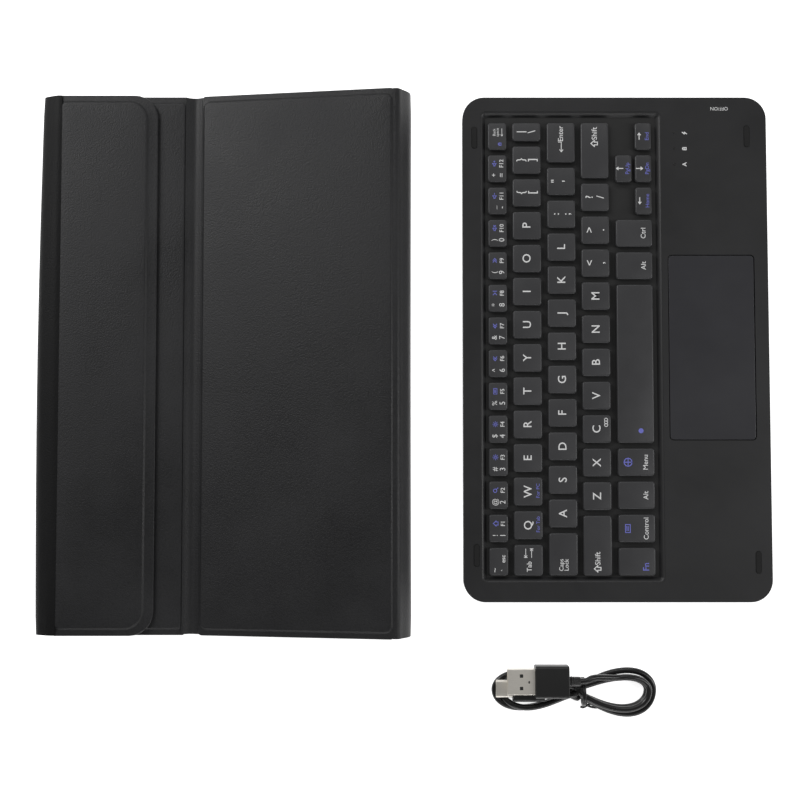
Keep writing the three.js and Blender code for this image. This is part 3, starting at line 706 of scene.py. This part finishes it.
def keycap_tree():
    """Keycap round its own centre: a stack of rings that are rounded rectangles."""
    sizes = (("Width", 14.0), ("Length", 14.0), ("Height", 1.6), ("Corner", CAP_CORNER), ("Bevel", CAP_BEVEL))
    tree, given, made, names = shape_tree("keycap", [(label, value * MM) for label, value in sizes])
    nodes, links = tree.nodes, tree.links
    last = len(CAP_PROFILE) - 1

    stack = nodes.new("GeometryNodeMeshCylinder")
    stack.fill_type = "NGON"
    stack.inputs["Vertices"].default_value = 32
    stack.inputs["Side Segments"].default_value = last
    stack.inputs["Radius"].default_value = 1.0
    stack.inputs["Depth"].default_value = 1.0

    split = nodes.new("ShaderNodeSeparateXYZ")
    links.new(nodes.new("GeometryNodeInputPosition").outputs[0], split.inputs[0])
    level = math_node(tree, "ADD", split.outputs["Z"], 0.5)

    def profile(column):
        """Value of a column of the profile at this level. The curve node only holds 0 to 1."""
        curve = nodes.new("ShaderNodeFloatCurve")
        points = curve.mapping.curves[0].points
        scale = 1.2
        for i, row in enumerate(CAP_PROFILE):
            spot = (i / last, row[column] / scale)
            if i in (0, last):
                points[0 if i == 0 else len(points) - 1].location = spot
            else:
                points.new(*spot)
        for point in points:
            point.handle_type = "VECTOR"
        curve.mapping.update()
        links.new(level, curve.inputs["Value"])
        return math_node(tree, "MULTIPLY", curve.outputs["Value"], scale)

    height = math_node(tree, "MULTIPLY", profile(0), given.outputs["Height"])
    inset = math_node(tree, "MULTIPLY", profile(1), given.outputs["Bevel"])
    corner = math_node(tree, "SUBTRACT", given.outputs["Corner"], inset)

    def across(axis, size):
        side = math_node(tree, "SIGN", split.outputs[axis])
        half = math_node(tree, "MULTIPLY", given.outputs[size], 0.5)
        straight = math_node(tree, "SUBTRACT", half, given.outputs["Corner"])
        return math_node(tree, "ADD", math_node(tree, "MULTIPLY", side, straight),
                         math_node(tree, "MULTIPLY", split.outputs[axis], corner))

    join = nodes.new("ShaderNodeCombineXYZ")
    links.new(across("X", "Width"), join.inputs["X"])
    links.new(across("Y", "Length"), join.inputs["Y"])
    links.new(height, join.inputs["Z"])
    place = nodes.new("GeometryNodeSetPosition")
    links.new(stack.outputs["Mesh"], place.inputs["Geometry"])
    links.new(join.outputs[0], place.inputs["Position"])

    # Sides and rims take the lighter side material, a painted highlight; faces that look straight up take the
    # top material.
    sides = set_material(tree, realized(tree, place.outputs[0]), KEY_SIDE_PAINTED_HIGHLIGHT)
    facing = nodes.new("ShaderNodeSeparateXYZ")
    links.new(nodes.new("GeometryNodeInputNormal").outputs[0], facing.inputs[0])
    tops = set_material(tree, sides.outputs[0], KEY_TOP)
    links.new(math_node(tree, "GREATER_THAN", facing.outputs["Z"], 0.97), tops.inputs["Selection"])
    links.new(tops.outputs[0], made.inputs[0])
    return tree, names


KEYCAP_TREE, KEYCAP_INPUTS = keycap_tree()


def tree_mesh(tree, names, sizes):
    """The mesh that a Geometry Nodes tree makes with these sizes, by the labels of its inputs."""
    values = {names[label]: value for label, value in sizes.items()}
    return taken_mesh("holder", bpy.data.meshes.new("holder"), tree, values)


def keycap_mesh(box):
    (x0, y0, z0), (x1, y1, z1) = box
    sizes = {"Width": x1 - x0, "Length": y1 - y0, "Height": z1 - z0, "Corner": CAP_CORNER, "Bevel": CAP_BEVEL}
    mesh = tree_mesh(KEYCAP_TREE, KEYCAP_INPUTS, {label: v * MM for label, v in sizes.items()})
    mesh.transform(Matrix.Translation(Vector(((x0 + x1) / 2, (y0 + y1) / 2, z0)) * MM))
    return mesh


def joined_mesh(name, meshes):
    shape = bmesh.new()
    for mesh in meshes:
        shape.from_mesh(mesh)
    whole = bpy.data.meshes.new(name)
    shape.to_mesh(whole)
    shape.free()
    return whole


# The legends of the joined rows, from the lower end up: (main, above it, blue sign, small) on the
# number row, and (main, above it, blue word) on the letter rows.
NUMBER_ROW = (
    ("1", "!", "home", "F1"), ("2", "@", "search", "F2"), ("3", "#", "sun", "F3"), ("4", "$", "sun", "F4"),
    ("5", "%", "keys", "F5"), ("6", "^", "back", "F6"), ("7", "&", "back", "F7"), ("8", "*", "play", "F8"),
    ("9", "(", "next", "F9"), ("0", ")", "mute", "F10"), ("-", "_", "down", "F11"), ("=", "+", "up", "F12"),
)
Q_ROW = (("Q", "", "For Tab"), ("W", "", "For PC"), *((c, "", "") for c in "ERTYUIOP"),
         ("[", "{", ""), ("]", "}", ""), ("\\", "|", ""))
A_ROW = (*((c, "", "") for c in "ASDFGHJKL"), (";", ":", ""), ("'", '"', ""))
Z_ROW = (*((c, "", "") for c in "ZXCVBNM"), (",", "<", ""), (".", ">", ""), ("/", "?", ""))
ROWS = {"keys_number_row": NUMBER_ROW, "keys_q_row": Q_ROW, "keys_a_row": A_ROW, "keys_z_row": Z_ROW}
LEGEND_LIFT = 0.02
STROKE_STEP = 0.004
DOT_RADIUS = 1.2
KEY_GAP = 2.4
LETTER_PITCH = 16.1


def glyphs(text, size, bold=0.0):
    """Flat lettering as a mesh round its own middle, with its baseline along X, in metres."""
    curve = bpy.data.curves.new("lettering", "FONT")
    curve.body = text
    curve.size = size * MM
    curve.align_x = "CENTER"
    curve.align_y = "CENTER"
    curve.resolution_u = 3
    curve.offset = bold * MM
    curve.space_line = 0.85
    return taken_mesh("lettering", curve)


def strokes(lines, width, closed=()):
    """Thick lines through points in millimetres, as flat strips that lie a hair above one another."""
    points, faces = [], []
    for index, line in enumerate(lines):
        route = [Vector(p) for p in line]
        if index in closed:
            route.append(route[0])
        for a, b in zip(route, route[1:]):
            along = (b - a).normalized() * (width / 2)
            side = Vector((-along.y, along.x))
            rise = STROKE_STEP * (len(faces) % 4)
            faces.append(tuple(range(len(points), len(points) + 4)))
            corners = (a - along - side, b + along - side, b + along + side, a - along + side)
            points += [(*p, rise) for p in corners]
    return flat_mesh("strokes", points, faces)


def ring_points(radius, count=14, centre=(0, 0), share=1.0):
    angles = [2 * math.pi * share * i / count for i in range(count)]
    return [(centre[0] + radius * math.cos(a), centre[1] + radius * math.sin(a)) for a in angles]


def disc(radius, count=20):
    """Filled circle, as a flat mesh."""
    return flat_mesh("disc", [(x, y, 0) for x, y in ring_points(radius, count)], [tuple(range(count))])


def arrow(direction, length=2.6, head=0.8):
    """Arrow lines through the origin. direction is a unit vector in reading space."""
    d, s = Vector(direction), Vector((-direction[1], direction[0]))
    tip, tail = d * (length / 2), d * (-length / 2)
    return [[tail, tip], [tip - d * head + s * head * 0.75, tip, tip - d * head - s * head * 0.75]]


def rays(inner, outer, count=8):
    angles = [2 * math.pi * k / count for k in range(count)]
    return [[(r * math.cos(a), r * math.sin(a)) for r in (inner, outer)] for a in angles]


HORN = [(-0.9, -0.25), (-0.5, -0.25), (0.0, -0.7), (0.0, 0.7), (-0.5, 0.25), (-0.9, 0.25)]
# Small generic signs in reading space: lines, their width, and which of them are closed.
SIGNS = {
    "home": ([[(-0.9, -0.1), (0, 0.9), (0.9, -0.1), (0.55, -0.1), (0.55, -0.8), (-0.55, -0.8),
               (-0.55, -0.1)]], 0.26, (0,)),
    "search": ([ring_points(0.6, centre=(-0.15, 0.2)), [(0.3, -0.25), (0.85, -0.8)]], 0.26, (0,)),
    "sun": ([ring_points(0.35, 10)] + rays(0.65, 0.95), 0.2, (0,)),
    "keys": ([[(-1.0, -0.6), (1.0, -0.6), (1.0, 0.6), (-1.0, 0.6)], [(-0.5, -0.1), (0.5, -0.1)],
              [(-0.5, 0.25), (0.5, 0.25)]], 0.2, (0,)),
    "back": ([[(0.6, 0.6), (-0.1, 0), (0.6, -0.6)], [(-0.1, 0.6), (-0.8, 0), (-0.1, -0.6)]], 0.26),
    "next": ([[(-0.6, 0.6), (0.1, 0), (-0.6, -0.6)], [(0.1, 0.6), (0.8, 0), (0.1, -0.6)]], 0.26),
    "play": ([[(-0.6, 0.6), (0.1, 0), (-0.6, -0.6)], [(0.7, 0.6), (0.7, -0.6)]], 0.26),
    "mute": ([HORN, [(0.4, 0.35), (1.0, -0.35)], [(0.4, -0.35), (1.0, 0.35)]], 0.22, (0,)),
    "down": ([HORN, [(0.45, 0.0), (0.95, 0.0)]], 0.22, (0,)),
    "up": ([HORN, [(0.45, 0.0), (0.95, 0.0)], [(0.7, 0.25), (0.7, -0.25)]], 0.22, (0,)),
    "dots": ([ring_points(0.55, 10, (x, 0)) for x in (-0.9, 0.0, 0.9)], 0.22, (0, 1, 2)),
    "erase": (arrow((-1, 0), 3.6, 0.6), 0.25),
    "lock": ([[(-0.6, -0.7), (0.6, -0.7), (0.6, 0.2), (-0.6, 0.2)], ring_points(0.45, 8, (0, 0.25), 0.5)],
             0.3, (0,)),
    "tab_back": (arrow((-1, 0), 4.0) + [[(-2.1, -0.7), (-2.1, 0.7)]], 0.3),
    "tab_on": (arrow((1, 0), 4.0) + [[(2.1, -0.7), (2.1, 0.7)]], 0.3),
    "return": ([[(2.6, 1.4), (2.6, 0), (-2.2, 0)], [(-1.2, 0.75), (-2.2, 0), (-1.2, -0.75)]], 0.35),
    "shift": ([[(-1.0, 0.1), (0, 1.2), (1.0, 0.1), (0.45, 0.1), (0.45, -0.9), (-0.45, -0.9),
                (-0.45, 0.1)]], 0.3, (0,)),
    "globe": ([ring_points(1.2, 12), [(-1.2, 0), (1.2, 0)], [(0, -1.2), (0, 1.2)]], 0.28, (0,)),
    "to_left": (arrow((-1, 0), 3.0), 0.42),
    "to_right": (arrow((1, 0), 3.0), 0.42),
    "to_up": (arrow((0, 1), 3.0), 0.42),
    "to_down": (arrow((0, -1), 3.0), 0.42),
    "bolt": ([[(0.35, 1.0), (-0.35, 0.05), (0.35, -0.05), (-0.35, -1.0)]], 0.5),
    "cell": ([[(-0.55, -0.8), (0.55, -0.8), (0.55, 0.7), (-0.55, 0.7)], [(-0.25, 1.0), (0.25, 1.0)],
              [(-0.2, -0.1), (0.2, -0.1)]], 0.4, (0,)),
}
# Words on the keys that stand alone: text, size, anchor, along, up, bold, colour. The anchor is the
# key's lower end (-1), its middle (0) or its upper end (1).
KEY_WORDS = {
    "key_escape": (("~", 3.8, 0, -4.0, 2.0, 0.0, "white"), ("`", 3.8, 0, -4.0, -2.4, 0.0, "white"),
                   ("esc", 2.9, 0, 1.4, -2.2, 0.03, "white")),
    "key_backspace": (("Back\nspace", 1.9, 0, 1.9, 0.6, 0.0, "white"),),
    "key_tab": (("Tab", 3.3, 0, -3.0, -0.4, 0.03, "white"),),
    "key_caps_lock": (("Caps\nLock", 2.9, -1, 5.2, -0.2, 0.02, "white"),),
    "key_enter": (("Enter", 3.5, 0, 4.3, 0.0, 0.02, "white"),),
    "key_left_shift": (("Shift", 3.6, -1, 8.3, 0.0, 0.02, "white"),),
    "key_right_shift": (("Shift", 3.6, 1, -5.4, 0.0, 0.02, "white"),),
    "key_fn": (("Fn", 4.2, 0, -2.4, -4.3, 0.03, "blue"),),
    "key_control": (("Control", 3.3, 0, 0.0, -4.5, 0.02, "white"),),
    "key_right_ctrl": (("Ctrl", 3.3, 0, 0.0, -4.5, 0.02, "white"),),
    "key_left_alt": (("Alt", 3.3, 0, 0.0, -4.5, 0.02, "white"),),
    "key_right_alt": (("Alt", 3.3, 0, 0.0, -4.5, 0.02, "white"),),
    "key_menu": (("Menu", 3.3, 0, 0.0, -4.5, 0.02, "white"),),
    "key_arrow_left": (("Home", 2.7, 0, 0.0, -1.9, 0.0, "blue"),),
    "key_arrow_right": (("End", 2.7, 0, 0.0, -1.9, 0.0, "blue"),),
    "key_arrow_up": (("PgUp", 2.7, 0, 0.0, -1.9, 0.0, "blue"),),
    "key_arrow_down": (("PgDn", 2.7, 0, 0.0, -1.9, 0.0, "blue"),),
}
# Signs on the same keys: name, anchor, along, up, colour, scale.
KEY_SIGNS = {
    "key_backspace": (("erase", 0, 1.9, -2.3, "white", 1.0), ("lock", 0, -3.9, -1.2, "blue", 1.0)),
    "key_tab": (("tab_back", 0, 3.4, 1.4, "white", 1.0), ("tab_on", 0, 3.4, -1.4, "white", 1.0)),
    "key_enter": (("return", 0, -2.4, -0.2, "white", 1.0),),
    "key_left_shift": (("shift", -1, 3.4, 0.0, "white", 1.5),),
    "key_right_shift": (("shift", 1, -10.3, 0.0, "white", 1.5),),
    "key_control": (("keys", 0, 0.0, 4.4, "blue", 1.9),),
    "key_menu": (("globe", 0, 0.0, 4.0, "blue", 1.6),),
    "key_space": (("dot", -1, 6.0, -2.4, "blue", 1.0),),
    "key_arrow_left": (("to_left", 0, 0.0, 1.9, "white", 1.0),),
    "key_arrow_right": (("to_right", 0, 0.0, 1.9, "white", 1.0),),
    "key_arrow_up": (("to_up", 0, 0.0, 1.9, "white", 1.0),),
    "key_arrow_down": (("to_down", 0, 0.0, 1.9, "white", 1.0),),
}


class Legends:
    """Collects the lettering of one body, in white and blue, and lays it on the keys."""

    def __init__(self, top):
        self.top = top + LEGEND_LIFT
        self.meshes = {"white": [], "blue": []}

    def add(self, mesh, centre, along, up, colour="white", scale=1.0, turned=False):
        """along runs in the reading direction, and up towards the top of the letters."""
        angle, x, y = (math.pi, -along, -up) if turned else (math.pi / 2, -up, along)
        place = Vector((centre[0] + x, centre[1] + y, self.top)) * MM
        mesh.transform(Matrix.Translation(place) @ Matrix.Rotation(angle, 4, "Z") @ Matrix.Scale(scale, 4))
        self.meshes[colour].append(mesh)

    def word(self, text, size, centre, along=0.0, up=0.0, colour="white", bold=0.0, turned=False):
        self.add(glyphs(text, size, bold), centre, along, up, colour, turned=turned)

    def sign(self, name, centre, along=0.0, up=0.0, colour="white", scale=1.0):
        mesh = disc(DOT_RADIUS) if name == "dot" else strokes(*SIGNS[name])
        self.add(mesh, centre, along, up, colour, scale)

    def finish(self, name, body):
        for colour, material in (("white", WHITE_INK), ("blue", BLUE_INK)):
            if self.meshes[colour]:
                label = f"legend_{colour}_{name}"
                mesh = joined_mesh(label, self.meshes[colour])
                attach(mesh_object(label, mesh, [material]), body)


def middle(box):
    return ((box[0][0] + box[1][0]) / 2, (box[0][1] + box[1][1]) / 2)


def number_legend(legends, centre, main, above, sign, small):
    legends.word(main, 3.8, centre, -3.3, -2.1)
    legends.word(above, 3.5, centre, -3.3, 1.6)
    legends.word(small, 2.8, centre, 2.4, -2.1, bold=0.03)
    legends.sign(sign, centre, 2.4, 1.4, "blue", 1.35)


def letter_legend(legends, centre, main, above, word):
    if above:
        legends.word(main, 5.2, centre, 0.0, -2.7, bold=0.03)
        legends.word(above, 5.2, centre, 0.0, 2.7, bold=0.03)
    else:
        legends.word(main, 5.6, centre, 0.0, 0.0, bold=0.04)
    if word:
        legends.word(word, 2.4, centre, 0.4, -4.7, "blue")


def single_legends(name, legends, centre, half):
    """The lettering of a key that stands alone. half is half its length along Y."""
    for text, size, anchor, along, up, bold, colour in KEY_WORDS.get(name, ()):
        legends.word(text, size, centre, anchor * half + along, up, colour, bold)
    for sign, anchor, along, up, colour, scale in KEY_SIGNS.get(name, ()):
        legends.sign(sign, centre, anchor * half + along, up, colour, scale)


def keycaps(name, boxes, label):
    """The keycaps of one body, as one piece."""
    mesh = joined_mesh(name, [keycap_mesh(box) for box in boxes])
    standing_for(mesh_object(label, mesh, [KEY_SIDE_PAINTED_HIGHLIGHT, KEY_TOP], 40.0), name, name)


def row_boxes(row, count):
    """Boxes of the separate keys of a joined row, by its pitch. The Q row ends in a wider key."""
    low, high = corner_box(row)
    wide_end = row == "keys_q_row"
    even = count - 1 if wide_end else count
    pitch = LETTER_PITCH if wide_end else (high.y - low.y + KEY_GAP) / count
    starts = [low.y + i * pitch for i in range(even)]
    boxes = [((low.x, y, low.z), (high.x, y + pitch - KEY_GAP, high.z)) for y in starts]
    if wide_end:
        boxes.append(((low.x, low.y + even * pitch, low.z), (high.x, high.y, high.z)))
    return boxes


def joined_rows():
    for row, entries in ROWS.items():
        boxes = row_boxes(row, len(entries))
        keycaps(row, boxes, f"caps_{row}")
        legends = Legends(boxes[0][1][2])
        write = number_legend if row == "keys_number_row" else letter_legend
        for box, entry in zip(boxes, entries):
            write(legends, middle(box), *entry)
        if row == "keys_z_row":
            legends.sign("dots", middle(boxes[2]), 3.2, -4.4, scale=1.4)
        legends.finish(row, row)


def single_keys():
    for name in sorted(n for n in frame["nodes"] if n.startswith("key_") and n != "key_sheet"):
        low, high = corner_box(name)
        keycaps(name, [(low, high)], f"cap_{name}")
        legends = Legends(high.z)
        single_legends(name, legends, middle((low, high)), (high.y - low.y) / 2)
        legends.finish(name, name)


def key_well():
    """Sloping wall that leads from the deck down to the keys."""
    deck_low, deck_high = corner_box("keyboard_top_case")
    low = (deck_low.x + WELL_START, deck_low.y + WELL_MARGIN_LOW)
    high = (deck_low.x + WELL_END, deck_high.y - WELL_MARGIN_HIGH)
    rings = [rounded_ring(low, high, (WELL_CORNER,) * 4, inset, deck_high.z + drop)
             for inset, drop in WELL_PROFILE]
    points, faces = lofted(rings + [rings[0]], cap_start=False, cap_end=False)
    mesh = solid_mesh("key_well_slope", points, faces, merge=0.001)
    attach(mesh_object("key_well_slope", mesh, [SHELL_PLASTIC], 60.0), "keyboard")


def deck_marks():
    """Lamp signs and switch words printed on the deck."""
    top = corner_box("keyboard_top_case")[1]
    legends = Legends(top.z)
    low, high = corner_box("light_guide")
    column = (low.x + high.x) / 2 + 5.0
    first = high.y - 2.0
    step = (high.y - low.y - 4.0) / 2
    legends.sign("bolt", (column, first))
    legends.sign("cell", (column, first - step))
    legends.word("A", 2.9, (column, first - 2 * step), bold=0.05)
    low, high = corner_box("power_switch")
    legends.word("OFF/ON", 2.4, ((low.x + high.x) / 2 + 2.4, top.y - 5.5), turned=True)
    legends.finish("deck", "keyboard")


def keyboard_body():
    shell = [SHELL_PLASTIC], "keyboard_plastic", "keyboard"
    softened("keyboard_top_case", "keyboard_deck", *shell, 0.55, 4)
    softened("keyboard_bottom_cover", "keyboard_back", *shell, 0.45, 3)
    softened("touchpad", "touchpad_plate", [PAD_FINISH], "touchpad_plastic", "touchpad", 0.22, 3)
    softened("power_switch", "switch_knob", [RUBBER], "black_rubber", "power_switch", 0.3, 3)
    for name in ("bumper_rear_upper", "bumper_front_upper", "bumper_rear_lower", "bumper_front_lower"):
        softened(name, f"{name}_rubber", [RUBBER], "black_rubber", "keyboard", 0.3, 3)
    paint(WELL_PLASTIC, "key_sheet", "dome_mat")
    paint(FOIL, "battery")
    paint(BOARD_GREEN, "main_board")
    paint(NICKEL, "charge_socket")
    paint(LENS, "light_guide")
    key_well()
    joined_rows()
    single_keys()
    deck_marks()


# ---------------------------------------------------------------- charging cable
CORD = 3.0
TEAR_SHARE = 4 / (3 * math.sqrt(3))  # widest half of sin(t) * sin(t / 2), which shapes a loop
RIGHT_LOOP = {"side": 1, "reach": 39.7, "high": 10.8, "low": 13.2}
LEFT_LOOP = {"side": -1, "reach": 39.7, "high": 9.5, "low": 10.2}
LOOP_POINTS = 26
TIE_WIRE = 1.1
RIB_SPACING = 1.15
RIB_SECTION = 0.42
# Lip of a latch hole: inset and height over the shell.
WINDOW_LIP = ((0.0, -0.02), (0.05, 0.06), (0.22, 0.06), (0.3, 0.015))


def loop_points(loop, inset, heights, spread=(0.0, 0.0), skip=0.0, stop=0.0):
    """One turn of the winding round a teardrop, upper side first.

    heights are at its start, upper side, far end, lower side and finish. spread shifts the start and
    the finish across. skip and stop leave out a share at the start and at the finish.
    """
    points = []
    for i in range(LOOP_POINTS + 1):
        share = i / LOOP_POINTS
        if share < skip or share > 1 - stop:
            continue
        turn = 2 * math.pi * (1 - share)
        along = (loop["reach"] - inset(share)) * (1 - math.cos(turn)) / 2
        wide = ((loop["low"] if turn < math.pi else loop["high"]) - inset(share)) / TEAR_SHARE
        across = -wide * math.sin(turn) * math.sin(turn / 2)
        near = max(0.0, math.cos(turn)) ** 6
        across += near * (spread[0] if share < 0.5 else spread[1])
        at = share * (len(heights) - 1)
        k = min(int(at), len(heights) - 2)
        f = at - k
        f = f * f * (3 - 2 * f)
        points.append((loop["side"] * along, across, heights[k] * (1 - f) + heights[k + 1] * f))
    return points


def cable_route(exit_point, finish_point):
    """The cord's centreline from the large plug through five loops to the small plug, in bundle places."""
    half = CORD / 2 + 0.1
    layer = CORD + 0.1
    low, mid = half, half + layer
    x, y, z = exit_point
    route = [(x, y, z), (x + 3.0, y + 0.3, z - 0.1), (x + 7.0, y + 1.6, z - 1.2)]
    route += loop_points(RIGHT_LOOP, lambda s: 2.6 + half, (mid + 3, mid + 2.2, mid, mid, mid + 0.2),
                         (0, 1.7), skip=0.24)
    route += loop_points(LEFT_LOOP, lambda s: half + layer * math.sin(math.pi * s) ** 8,
                         (mid, mid, low, mid, mid + 0.6), (1.7, -1.7))[1:]
    route += loop_points(RIGHT_LOOP, lambda s: half, (mid + 0.6, low + 1, low, low, low), (-1.7, -1.7))[1:]
    route += loop_points(LEFT_LOOP, lambda s: half, (low, low, low, low, mid), (-1.7, 1.7))[1:]
    x, y, z = finish_point
    route += loop_points(RIGHT_LOOP, lambda s: half + layer, (mid, mid, low, low, low), (1.7, -2.0),
                         stop=0.06)[1:]
    route += [(1.5, -4.0, low + 0.6), (-3.0, (y - 4.0) / 2, (z + low) / 2 + 0.4), (x + 2.5, y, z), (x, y, z)]
    return route


def cord_curve(name, route, centre, diameter):
    """Round cord through the route, as a curve, and its length in metres."""
    fine = smooth_line([Vector(p) + centre for p in route], 4)
    data = bpy.data.curves.new(name, "CURVE")
    data.dimensions = "3D"
    spline = data.splines.new("POLY")
    spline.points.add(len(fine) - 1)
    for spot, p in zip(spline.points, fine):
        spot.co = (*(p * MM), 1)
    data.bevel_depth = diameter / 2 * MM
    data.bevel_resolution = 4
    data.use_fill_caps = True
    data.materials.append(JACKET)
    return data, sum((b - a).length for a, b in zip(fine, fine[1:])) * MM


def rib_tree():
    """Rings set in a row along X, each a little smaller than the last."""
    tree, given, made, names = shape_tree("relief_ribs", (
        ("Count", 5), ("Spacing", RIB_SPACING * MM), ("Radius", 2.0 * MM), ("Taper", 0.05)))
    nodes, links = tree.nodes, tree.links
    line = nodes.new("GeometryNodeMeshLine")
    links.new(given.outputs["Count"], line.inputs["Count"])
    step = nodes.new("ShaderNodeCombineXYZ")
    links.new(given.outputs["Spacing"], step.inputs["X"])
    links.new(step.outputs[0], line.inputs["Offset"])
    outline = nodes.new("GeometryNodeCurvePrimitiveCircle")
    outline.inputs["Resolution"].default_value = 24
    links.new(given.outputs["Radius"], outline.inputs["Radius"])
    section = nodes.new("GeometryNodeCurvePrimitiveCircle")
    section.inputs["Resolution"].default_value = 10
    section.inputs["Radius"].default_value = RIB_SECTION * MM
    torus = nodes.new("GeometryNodeCurveToMesh")
    links.new(outline.outputs[0], torus.inputs["Curve"])
    links.new(section.outputs[0], torus.inputs["Profile Curve"])
    copies = nodes.new("GeometryNodeInstanceOnPoints")
    links.new(line.outputs["Mesh"], copies.inputs["Points"])
    links.new(torus.outputs["Mesh"], copies.inputs["Instance"])
    copies.inputs["Rotation"].default_value = (0, math.pi / 2, 0)
    index = nodes.new("GeometryNodeInputIndex").outputs[0]
    taper = math_node(tree, "MULTIPLY", index, given.outputs["Taper"])
    links.new(math_node(tree, "SUBTRACT", 1.0, taper), copies.inputs["Scale"])
    finish = set_material(tree, realized(tree, copies.outputs[0]), PLUG_BODY)
    links.new(finish.outputs[0], made.inputs[0])
    return tree, names


RIB_TREE, RIB_INPUTS = rib_tree()


def plug_looks(kind, ribs, radius):
    """Plug shell, moulded housing and ribbed strain relief. Returns them and the cord's exit."""
    shell = softened(f"{kind}_shell", f"{kind}_metal", [NICKEL], "plug_metal", "cable", 0.12, 2, 50.0)
    housing = softened(f"{kind}_housing", f"{kind}_grip", [PLUG_BODY], "cable_jacket", "cable", 0.45, 3, 40.0)
    shell_low, shell_high = corner_box(f"{kind}_shell")
    centre = (shell_low + shell_high) / 2
    end = corner_box(f"{kind}_housing")[1].x
    mesh = tree_mesh(RIB_TREE, RIB_INPUTS, {
        "Count": ribs, "Spacing": RIB_SPACING * MM, "Radius": radius * MM, "Taper": 0.05})
    first = end - ribs * RIB_SPACING + 0.3
    mesh.transform(Matrix.Translation(Vector((first, centre.y, centre.z)) * MM))
    relief = mesh_object(f"{kind}_relief_ribs", mesh, [PLUG_BODY], 60.0)
    return [shell, housing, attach(relief, "cable")], Vector((end, centre.y, centre.z))


def contact_windows():
    """The latch holes and the seam lock of the large plug's shell, as bright lips round flat dark caps that
    sit on the shell; the dark caps are painted shade standing for the openings.
    """
    low, high = corner_box("usb_a_shell")
    middle_x, middle_y = (low.x + high.x) / 2, (low.y + high.y) / 2
    points, faces = [], []
    holes = ((middle_x, -2.9, 1.1, 1.1), (middle_x, 2.9, 1.1, 1.1), (high.x - 2.8, 0.0, 0.7, 0.9))
    for x, y, wide, deep in holes:
        rings = [rounded_ring((x - wide, middle_y + y - deep), (x + wide, middle_y + y + deep), (0.3,) * 4,
                              inset, high.z + rise, 3) for inset, rise in WINDOW_LIP]
        hole_points, hole_faces = lofted(rings, cap_start=False)
        faces += [tuple(i + len(points) for i in face) for face in hole_faces]
        points += hole_points
    mesh = solid_mesh("latch_windows", points, faces)
    obj = mesh_object("latch_windows", mesh, [NICKEL, WELL_PLASTIC], 30.0)
    # The flat caps get the dark well plastic as painted shade of the openings; the lips keep the plated
    # finish.
    for polygon in obj.data.polygons:
        polygon.material_index = 1 if len(polygon.vertices) > 4 else 0
    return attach(obj, "cable")


def cable_tie(centre):
    """Plastic-covered wire wound twice round the middle of the bundle, with a twisted loose end."""
    route = []
    turns, steps = 2, 14
    for i in range(turns * steps + 1):
        a = 2 * math.pi * i / steps - math.pi / 2
        route.append((3.2 + 1.6 * i / (turns * steps), 6.4 * math.cos(a) - 0.5, 4.6 + 4.6 * math.sin(a)))
    route += [(5.4, -4.6, 2.0), (6.4, -7.6, 1.2), (10.5, -8.8, 0.9), (13.6, -7.8, 0.9), (11.0, -6.6, 1.0),
              (7.6, -7.0, 1.6), (4.6, -8.6, 1.3), (3.2, -8.2, 1.4)]
    mesh = taken_mesh("cable_tie", cord_curve("cable_tie", route, centre, TIE_WIRE)[0])
    mesh.materials.clear()
    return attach(mesh_object("cable_tie", mesh, [JACKET], 60.0), "cable")


def charging_cable():
    coil_low, coil_high = corner_box("cable_coil")
    centre = Vector((coil_high.x - RIGHT_LOOP["reach"], coil_low.y + RIGHT_LOOP["low"], 0))
    large, exit_a = plug_looks("usb_a", 5, 2.2)
    small, exit_c = plug_looks("usb_c", 4, 2.0)
    route = cable_route(exit_a - centre, exit_c - centre)
    data, length = cord_curve("charging_cord", route, centre, CORD)
    cord = bpy.data.objects.new("charging_cord", data)
    scene.collection.objects.link(cord)
    standing_for(cord, "cable_coil", "cable")
    windows = contact_windows()
    tie = cable_tie(centre)


camera_and_studio()
charging_cable()
folio_panels()
folio_folds()
folio_insides()
keyboard_body()
floor()
